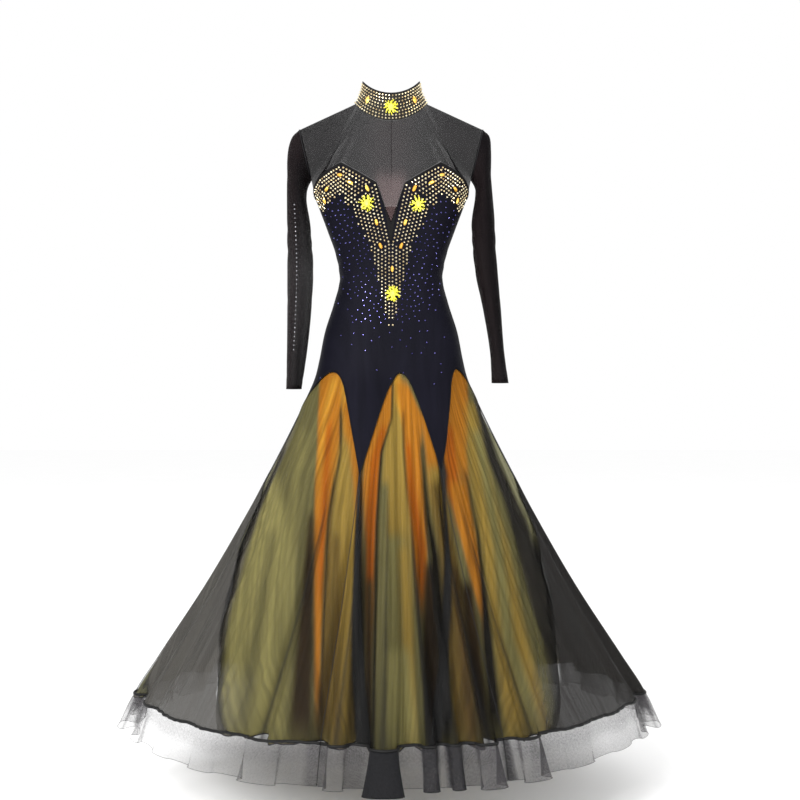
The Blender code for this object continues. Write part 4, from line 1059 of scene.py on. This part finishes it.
def glass(name, low, high, roughness, metallic, glow=0.0):
    """Cut glass on foil: each stone gets a random brightness between a dark and a bright colour, a painted glint,
    and catches the light on flat facets; with glow its colour is also emitted, a painted glow.
    """
    made, start = finish(name, metallic=metallic, roughness=roughness, specular_ior_level=0.8)
    glint = start.node("ShaderNodeAttribute", {"attribute_name": "glint"}, out=2)
    place = start.node("ShaderNodeTexCoord", out=3)
    cloudy = start.node("ShaderNodeTexNoise", {}, {"Vector": place, "Scale": 260.0, "Detail": 1.0})
    colour = start.mix(glint * 0.6 + cloudy * 0.4, low, high)
    feed(made, base_color=colour, roughness=roughness + cloudy * 0.12)
    # Painted glow: the stone gives off its own colour, though it is no lamp.
    if glow:
        feed(made, emission_color=colour)
        made.node_tree.nodes["Principled BSDF"].inputs["Emission Strength"].default_value = glow
    return made


rng = random.Random(11)
edge_line = []
for place, height in ((0, -0.488), (0, -0.312)) + tuple((a, z - 0.0068) for a, z in NECKLINE[1:5]):
    tries, way = unrolled(height)
    edge_line.append((float(np.interp(place, tries, way)), height))


def taken(x, z, spots, gap):
    return any(hypot(x - a, z - b) < gap for a, b in spots)


def to_segment(x, z, a, b, c, d):
    """Distance of a place from the straight line between two others."""
    t = ((x - a) * (c - a) + (z - b) * (d - b)) / ((c - a) ** 2 + (d - b) ** 2)
    t = min(1.0, max(0.0, t))
    return hypot(x - (a + (c - a) * t), z - (b + (d - b) * t))


GOLD_ROUND = 78          # degrees round to each side where the gold ends
GOLD_ROWS, GOLD_END_Z, GOLD_CENTRE, ROW_SLACK, JITTER = 9, -0.490, 0.0030, 0.0012, 0.0004
FRAY_DEEP, FRAY_SHARE = 0.010, 0.30      # near its lower edge the gold thins out
CLUSTER_ROOM, NAVETTE_ROOM, STONE_ROOM = 0.0125, 0.0062, 0.80
gold = []
busy = [(x, z) for x, z, *_ in NAVETTES]
for row in range(GOLD_ROWS):
    gap = (row + 0.5) * STONE_PITCH
    for (x0, z0), (x1, z1) in zip(edge_line, edge_line[1:]):
        long = hypot(x1 - x0, z1 - z0)
        step = (x1 - x0) / long, (z1 - z0) / long
        side = step[1], -step[0]
        count = int(long / STONE_PITCH)
        for k in range(count + 1):
            along = (k + (0.5 if row % 2 else 0.0)) * long / max(count, 1)
            if along > long:
                continue
            wx = x0 + step[0] * along + side[0] * gap + rng.uniform(-JITTER, JITTER)
            wz = z0 + step[1] * along + side[1] * gap + rng.uniform(-JITTER, JITTER)
            if wx < GOLD_CENTRE or wz < GOLD_END_Z:
                continue
            near = min(to_segment(wx, wz, *a, *b) for a, b in zip(edge_line, edge_line[1:]))
            if near < gap - ROW_SLACK:
                continue
            gold.append((wx, wz))
kept = []
for wx, wz in gold:
    tries, way = unrolled(wz)
    angle = float(np.interp(wx, way, tries))
    x = float(body(angle, wz)[0])
    above = wz - np.interp(x, *zip(*GOLD_EDGE))
    if angle > GOLD_ROUND or above < 0 or (above < FRAY_DEEP and rng.random() < FRAY_SHARE):
        continue
    if taken(x, wz, busy, NAVETTE_ROOM) or taken(wx, wz, [k[:2] for k in kept], STONE_PITCH * STONE_ROOM):
        continue
    kept.append((wx, wz, angle))
gold = []
for side in (-1, 1):
    for _, wz, angle in kept:
        x = float(body(side * angle, wz)[0])
        if taken(x, wz, CLUSTERS, CLUSTER_ROOM):
            continue
        half = STONE_HALF * rng.uniform(0.90, 1.08)
        gold.append(stone_on_body(side * angle, wz, half, half, rng.uniform(0, 45), rng))
gold_glass = glass("gold_stone", (0.34, 0.22, 0.075, 1), (0.98, 0.90, 0.64, 1), 0.16, 0.80, 0.06)
set_stones("bodice_gold_stones", gold, gold_glass)

around = []
for row in range(COLLAR_STONE_ROWS):
    share = 0.075 + 0.85 * row / (COLLAR_STONE_ROWS - 1)
    length_round = 2 * pi * (0.058 + 0.012 * share)
    count = int(length_round / COLLAR_PITCH)
    for k in range(count):
        angle = -178 + 356 * (k + (0.5 if row % 2 else 0.0)) / count
        if angle > 178 or (abs(turned(angle, 0)) < 8.5 and 0.22 < share < 0.78):
            continue
        point = collar_point(angle, share, COLLAR_WALL)
        up = collar_point(angle, share - 0.03) - collar_point(angle, share + 0.03)
        across = collar_point(angle + 1, share) - collar_point(angle - 1, share)
        normal = np.cross(across, up)
        normal = normal / np.linalg.norm(normal)
        half = COLLAR_STONE_HALF * rng.uniform(0.9, 1.1)
        up = up / np.linalg.norm(up)
        around.append((point + normal * half * 0.42, normal, up, half, half, half * 0.9, rng.random()))
set_stones("collar_gold_stones", around, gold_glass)

amber_glass = glass("amber_navette", (0.75, 0.30, 0.02, 1), (1.0, 0.72, 0.16, 1), 0.10, 0.55, 0.12)
drops = []
for side in (-1, 1):
    for x, z, half_wide, half_long, tilt in NAVETTES:
        angle = front_angle(side * x, z)
        drops.append(stone_on_body(angle, z, half_wide, half_long, side * tilt, rng, 0.45))
drops.append(stone_on_body(front_angle(0.003, -0.362), -0.362, 0.0034, 0.0066, 0, rng, 0.45))
for angle in (-47, 47, -130, 130):
    point = collar_point(angle, 0.5, COLLAR_WALL)
    up = collar_point(angle, 0.45) - collar_point(angle, 0.55)
    normal = np.cross(collar_point(angle + 1, 0.5) - collar_point(angle - 1, 0.5), up)
    normal = normal / np.linalg.norm(normal)
    drops.append((point + normal * 0.0026, normal, up / np.linalg.norm(up), 0.0044, 0.0084, 0.004, rng.random()))
set_stones("navette_stones", drops, amber_glass, facets=10, table=0.45)


# Clusters: four large bright yellow cut stones, each an oval ringed by eight pointed ones and a few sparks.
# They sit at both cups, below the waist and in the middle of the collar, glued over the smaller stones.
CLUSTER_HALF_WIDE, CLUSTER_HALF_TALL = 0.0066, 0.0082
PETALS = (               # count, distance out, half width, half length, height of each ring
    (8, 0.0090, 0.0024, 0.0044, 0.0036), (11, 0.0122, 0.0015, 0.0034, 0.0024),
    (7, 0.0150, 0.0011, 0.0022, 0.0018),
)
sun_glass = glass("yellow_stone", (0.44, 0.40, 0.01, 1), (0.88, 0.85, 0.10, 1), 0.10, 0.10, 0.28)
centres = []
for label, (x, z) in zip(("stone_bust_left", "stone_bust_right", "stone_waist"), CLUSTERS):
    angle = front_angle(x, z)
    centres.append((label, body(angle, z), outward(angle, z)))
up = collar_point(0, 0.3) - collar_point(0, 0.7)
face = np.cross((1.0, 0, 0), up)
centres.append(("stone_collar", collar_point(0, 0.5, COLLAR_WALL), face / np.linalg.norm(face)))
for label, point, normal in centres:
    side = np.cross((0, 0, 1.0), normal)
    side = side / np.linalg.norm(side)
    up = np.cross(normal, side)
    set_of = [(point + normal * 0.0036, normal, up, CLUSTER_HALF_WIDE, CLUSTER_HALF_TALL, 0.0062, 0.9)]
    for count, out_to, wide, half_long, high in PETALS:
        for k in range(count):
            turn = 2 * pi * (k + 0.5 * rng.random()) / count
            ray = side * sin(turn) + up * cos(turn) * 1.12
            out = out_to * rng.uniform(0.88, 1.10)
            long = half_long * rng.uniform(0.7, 1.25)
            set_of.append((point + ray * out + normal * high * 0.7, normal, ray / np.linalg.norm(ray), wide, long,
                           high, rng.random()))
    cluster = set_stones(label + "_cluster", set_of, sun_glass, facets=10, table=0.42)
    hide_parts(label)


# Lilac stones: small round stones scattered on the stretch cloth beside the gold point, thick near it and
# sparse over the hips, and a dotted line of small dark ones down the front of the left sleeve.
LILAC_HALF, LILAC_TRIES = 0.0018, 6000
LILAC_REACH = (          # height below the neck, how far from the gold the stones lie thick
    (0.20, 0.16), (0.28, 0.06), (0.36, 0.05), (0.44, 0.045), (0.48, 0.05),
)
LILAC_WAIST_Z, LILAC_GAP, HIP_GAP, HIP_SHARE = -0.474, 0.0084, 0.016, 0.22
SLEEVE_DOTS, DOT_FIRST, DOT_COLUMN = 34, 26, 16
lilac = []
spots = []
rng = random.Random(29)
for _ in range(LILAC_TRIES):
    x = rng.uniform(-0.150, 0.150)
    z = rng.uniform(-0.610, -0.200)
    edge = np.interp(abs(x), *zip(*GOLD_EDGE))
    if z > edge - 0.004 or abs(x) > float(smooth_curve(FORM, 1, z)) * 0.94:
        continue
    if z > LILAC_WAIST_Z:
        reach = np.interp(-z, *zip(*LILAC_REACH))
        from_gold = abs(x) - np.interp(z, [b for _, b in GOLD_EDGE[:8]], [a for a, _ in GOLD_EDGE[:8]])
        chance = 0.90 * np.exp(-(max(from_gold, 0) / reach) ** 2) + 0.02
        gap = LILAC_GAP
    else:
        chance = HIP_SHARE * np.exp(-((LILAC_WAIST_Z - z) / 0.05) ** 2) * np.exp(-(x / 0.07) ** 2) + 0.008
        gap = HIP_GAP
    if rng.random() > chance or taken(x, z, spots, gap):
        continue
    spots.append((x, z))
    half = LILAC_HALF * rng.uniform(0.8, 1.1)
    lilac.append(stone_on_body(front_angle(x, z), z, half, half, rng.uniform(0, 45), rng))
lilac_glass = glass("lilac_stone", (0.016, 0.012, 0.10, 1), (0.14, 0.13, 0.40, 1), 0.14, 0.75, 0.02)
set_stones("bodice_lilac_stones", lilac, lilac_glass)

points, _, _ = sleeve_grid(-1, SLEEVE_LEFT)
dots = []
for k in range(SLEEVE_DOTS):
    j, i = DOT_FIRST + k * 2, DOT_COLUMN
    p = points[j, i]
    run, fall = points[j, i + 1] - points[j, i - 1], points[j + 1, i] - points[j - 1, i]
    normal = np.cross(fall, run)
    normal = normal / np.linalg.norm(normal)
    dots.append((p + normal * 0.0008, normal, -fall / np.linalg.norm(fall), 0.0016, 0.0016, 0.0015, rng.random()))
jet_glass = glass("jet_stone", (0.10, 0.10, 0.11, 1), (0.40, 0.40, 0.43, 1), 0.15, 0.5)
set_stones("sleeve_jet_stones", dots, jet_glass)


# Sewing: the zigzag seam between bodice and skirt is piped in black, and the centre back and armholes are
# overlocked. Each seam shows as a thin ridge, and small stitches run along the zigzag, the centre back and the
# neckline.
PIPE, BACK_THREAD, YOKE_THREAD, SKIRT_THREAD, ARM_THREAD = 0.0009, 0.0007, 0.0006, 0.0008, 0.0010
STITCH_LONG, STITCH_EVERY, STITCH_HALF, STITCH_THICK, STITCH_LIFT = 0.0026, 0.0044, 0.00042, 0.0006, 0.0004
seam_thread, start = finish("seam_thread", specular_ior_level=0.15, roughness=0.6)
place = start.node("ShaderNodeTexCoord", out=3)
twist = start.node("ShaderNodeTexNoise", {}, {"Vector": place, "Scale": 600.0, "Detail": 1.0})
feed(seam_thread, base_color=start.mix(twist, (0.003, 0.003, 0.004, 1), (0.012, 0.012, 0.013, 1)),
     normal=bump(start, twist, 0.0003))
zigzag = spread(-14, 346, 0.8, [a for row in GODETS for a in row[1:3]])[:-1]
pipe_line = body(zigzag, low_edge(zigzag))
tube("zigzag_piping", pipe_line, PIPE, binding_cloth, closed=True)
back_z = np.linspace(-0.204, -0.580, 60)
back_line = body(np.full(60, 180.0), back_z, -0.0003)
tube("centre_back_seam", back_line, BACK_THREAD, seam_thread)
yoke_back = np.array([yoke_grid(back_pairs[-1:], BACK_FULL, 1)[j, 0] * (0, 1, 1) for j in range(YOKE_ROWS + 1)])
tube("yoke_back_seam", yoke_back, YOKE_THREAD, seam_thread)
for name, _, left, *_ in GODETS:
    z = np.linspace(float(low_edge(np.array([left]))[0]) - 0.002, BAND_Z + 0.001, 70)
    down_seam = body(np.full(70, float(left)), z, 0.0004)
    tube(f"skirt_seam_{name}", down_seam, SKIRT_THREAD, seam_thread)
for side, label in ((-1, "left"), (1, "right")):
    loop = [armhole_point(side, t, -1) + [side * 0.0009, 0, 0] for t in np.linspace(4, 176, 40)]
    loop += [armhole_point(side, t, 1) + [side * 0.0009, 0, 0] for t in np.linspace(176, 4, 40)]
    tube(f"armhole_seam_{label}", loop, ARM_THREAD, seam_thread, closed=True)


def stitches(name, line, normals):
    """Small thread stitches laid along a line."""
    line = np.asarray(line)
    way = np.concatenate(([0], np.linalg.norm(np.diff(line, axis=0), axis=1).cumsum()))
    marks = []
    for at in np.arange(STITCH_EVERY / 2, way[-1], STITCH_EVERY):
        p = np.array([np.interp(at, way, line[:, k]) for k in range(3)])
        q = np.array([np.interp(at + 0.0005, way, line[:, k]) for k in range(3)])
        n = np.array([np.interp(at, way, normals[:, k]) for k in range(3)])
        n = n / np.linalg.norm(n)
        along = (q - p) / np.linalg.norm(q - p)
        marks.append((p + n * STITCH_LIFT, n, along, STITCH_HALF, STITCH_LONG / 2, STITCH_THICK, rng.random()))
    return set_stones(name, marks, seam_thread, facets=6, table=0.6)


normals = outward(zigzag, low_edge(zigzag))
stitches("zigzag_stitches", body(zigzag, low_edge(zigzag) + 0.0042), normals)
beside = np.full(60, 181.4)
stitches("centre_back_stitches", body(beside, back_z), outward(beside, back_z))
top = spread(-88, 88, 0.8, corner_angles())
low = top_edge(top) - 0.0035
stitches("neckline_stitches", body(top, low) + outward(top, low) * 0.0018, outward(top, low))


# What each piece of cloth was cut to, laid flat, is read and taken off it.
for name, piece in bodice.items():
    state_cut(piece)
state_cut(binding)
for name, roll in zip(coloured, godet_rolls):
    above = bodice["bodice_front" if name.startswith("front") else "bodice_back_left"]
    state_cut(coloured[name])
for (name, piece), roll in zip(overlay.items(), veil_rolls):
    state_cut(piece)
for (name, piece), edge in zip(band.items(), band_edges):
    state_cut(piece)
for piece in yoke.values():
    state_cut(piece)
for piece in sleeves.values():
    state_cut(piece)
state_cut(collar)


# Studio: a plain pale floor under a white sky, one large soft light from the front left, a weaker one from
# the right and a small one for the stones, and a camera level with the hips three metres away.
FLOOR_Z = -1.46
CAMERA_AT, CAMERA_LENS = (0.019, -3.0, -0.636), 62.8
floor_mesh = bpy.data.meshes.new("floor")
floor_corners = [(-14, -8, FLOOR_Z), (14, -8, FLOOR_Z), (14, 20, FLOOR_Z), (-14, 20, FLOOR_Z)]
floor_mesh.from_pydata(floor_corners, [], [(0, 1, 2, 3)])
floor = bpy.data.objects.new("floor", floor_mesh)
bpy.context.scene.collection.objects.link(floor)
floor_paint, start = finish("pale_floor", specular_ior_level=0.0, roughness=0.9)
speck = start.node("ShaderNodeTexNoise", {}, {"Vector": start.node("ShaderNodeTexCoord", out=3), "Scale": 3.0})
feed(floor_paint, base_color=start.mix(speck, (0.97, 0.97, 0.97, 1), (0.99, 0.99, 0.99, 1)))
floor_mesh.materials.append(floor_paint)

world = bpy.data.worlds.new("studio")
world.use_nodes = True
world.node_tree.nodes["Background"].inputs["Color"].default_value = (1, 1, 1, 1)
world.node_tree.nodes["Background"].inputs["Strength"].default_value = 1.0
bpy.context.scene.world = world


def light(name, where, aim, size, power):
    lamp = bpy.data.lights.new(name, "AREA")
    lamp.size, lamp.energy = size, power
    made = bpy.data.objects.new(name, lamp)
    made.location = where
    made.rotation_euler = (Vector(aim) - Vector(where)).to_track_quat("-Z", "Y").to_euler()
    bpy.context.scene.collection.objects.link(made)


light("key", (-2.2, -3.4, 1.3), (0, 0, -0.7), 1.6, 230)
light("fill", (2.6, -3.0, 0.2), (0, 0, -0.8), 2.0, 70)
light("spark", (-0.5, -2.8, 0.9), (0, 0, -0.3), 0.15, 18)

camera = bpy.data.objects.new("camera", bpy.data.cameras.new("camera"))
camera.location = CAMERA_AT
camera.rotation_euler = (radians(90), 0, 0)
camera.data.sensor_width = 36
camera.data.lens = CAMERA_LENS
camera.data.clip_end = 60
bpy.context.scene.collection.objects.link(camera)
bpy.context.scene.camera = camera
bpy.context.scene.view_settings.view_transform = "Standard"
bpy.context.scene.cycles.transparent_max_bounces = 32
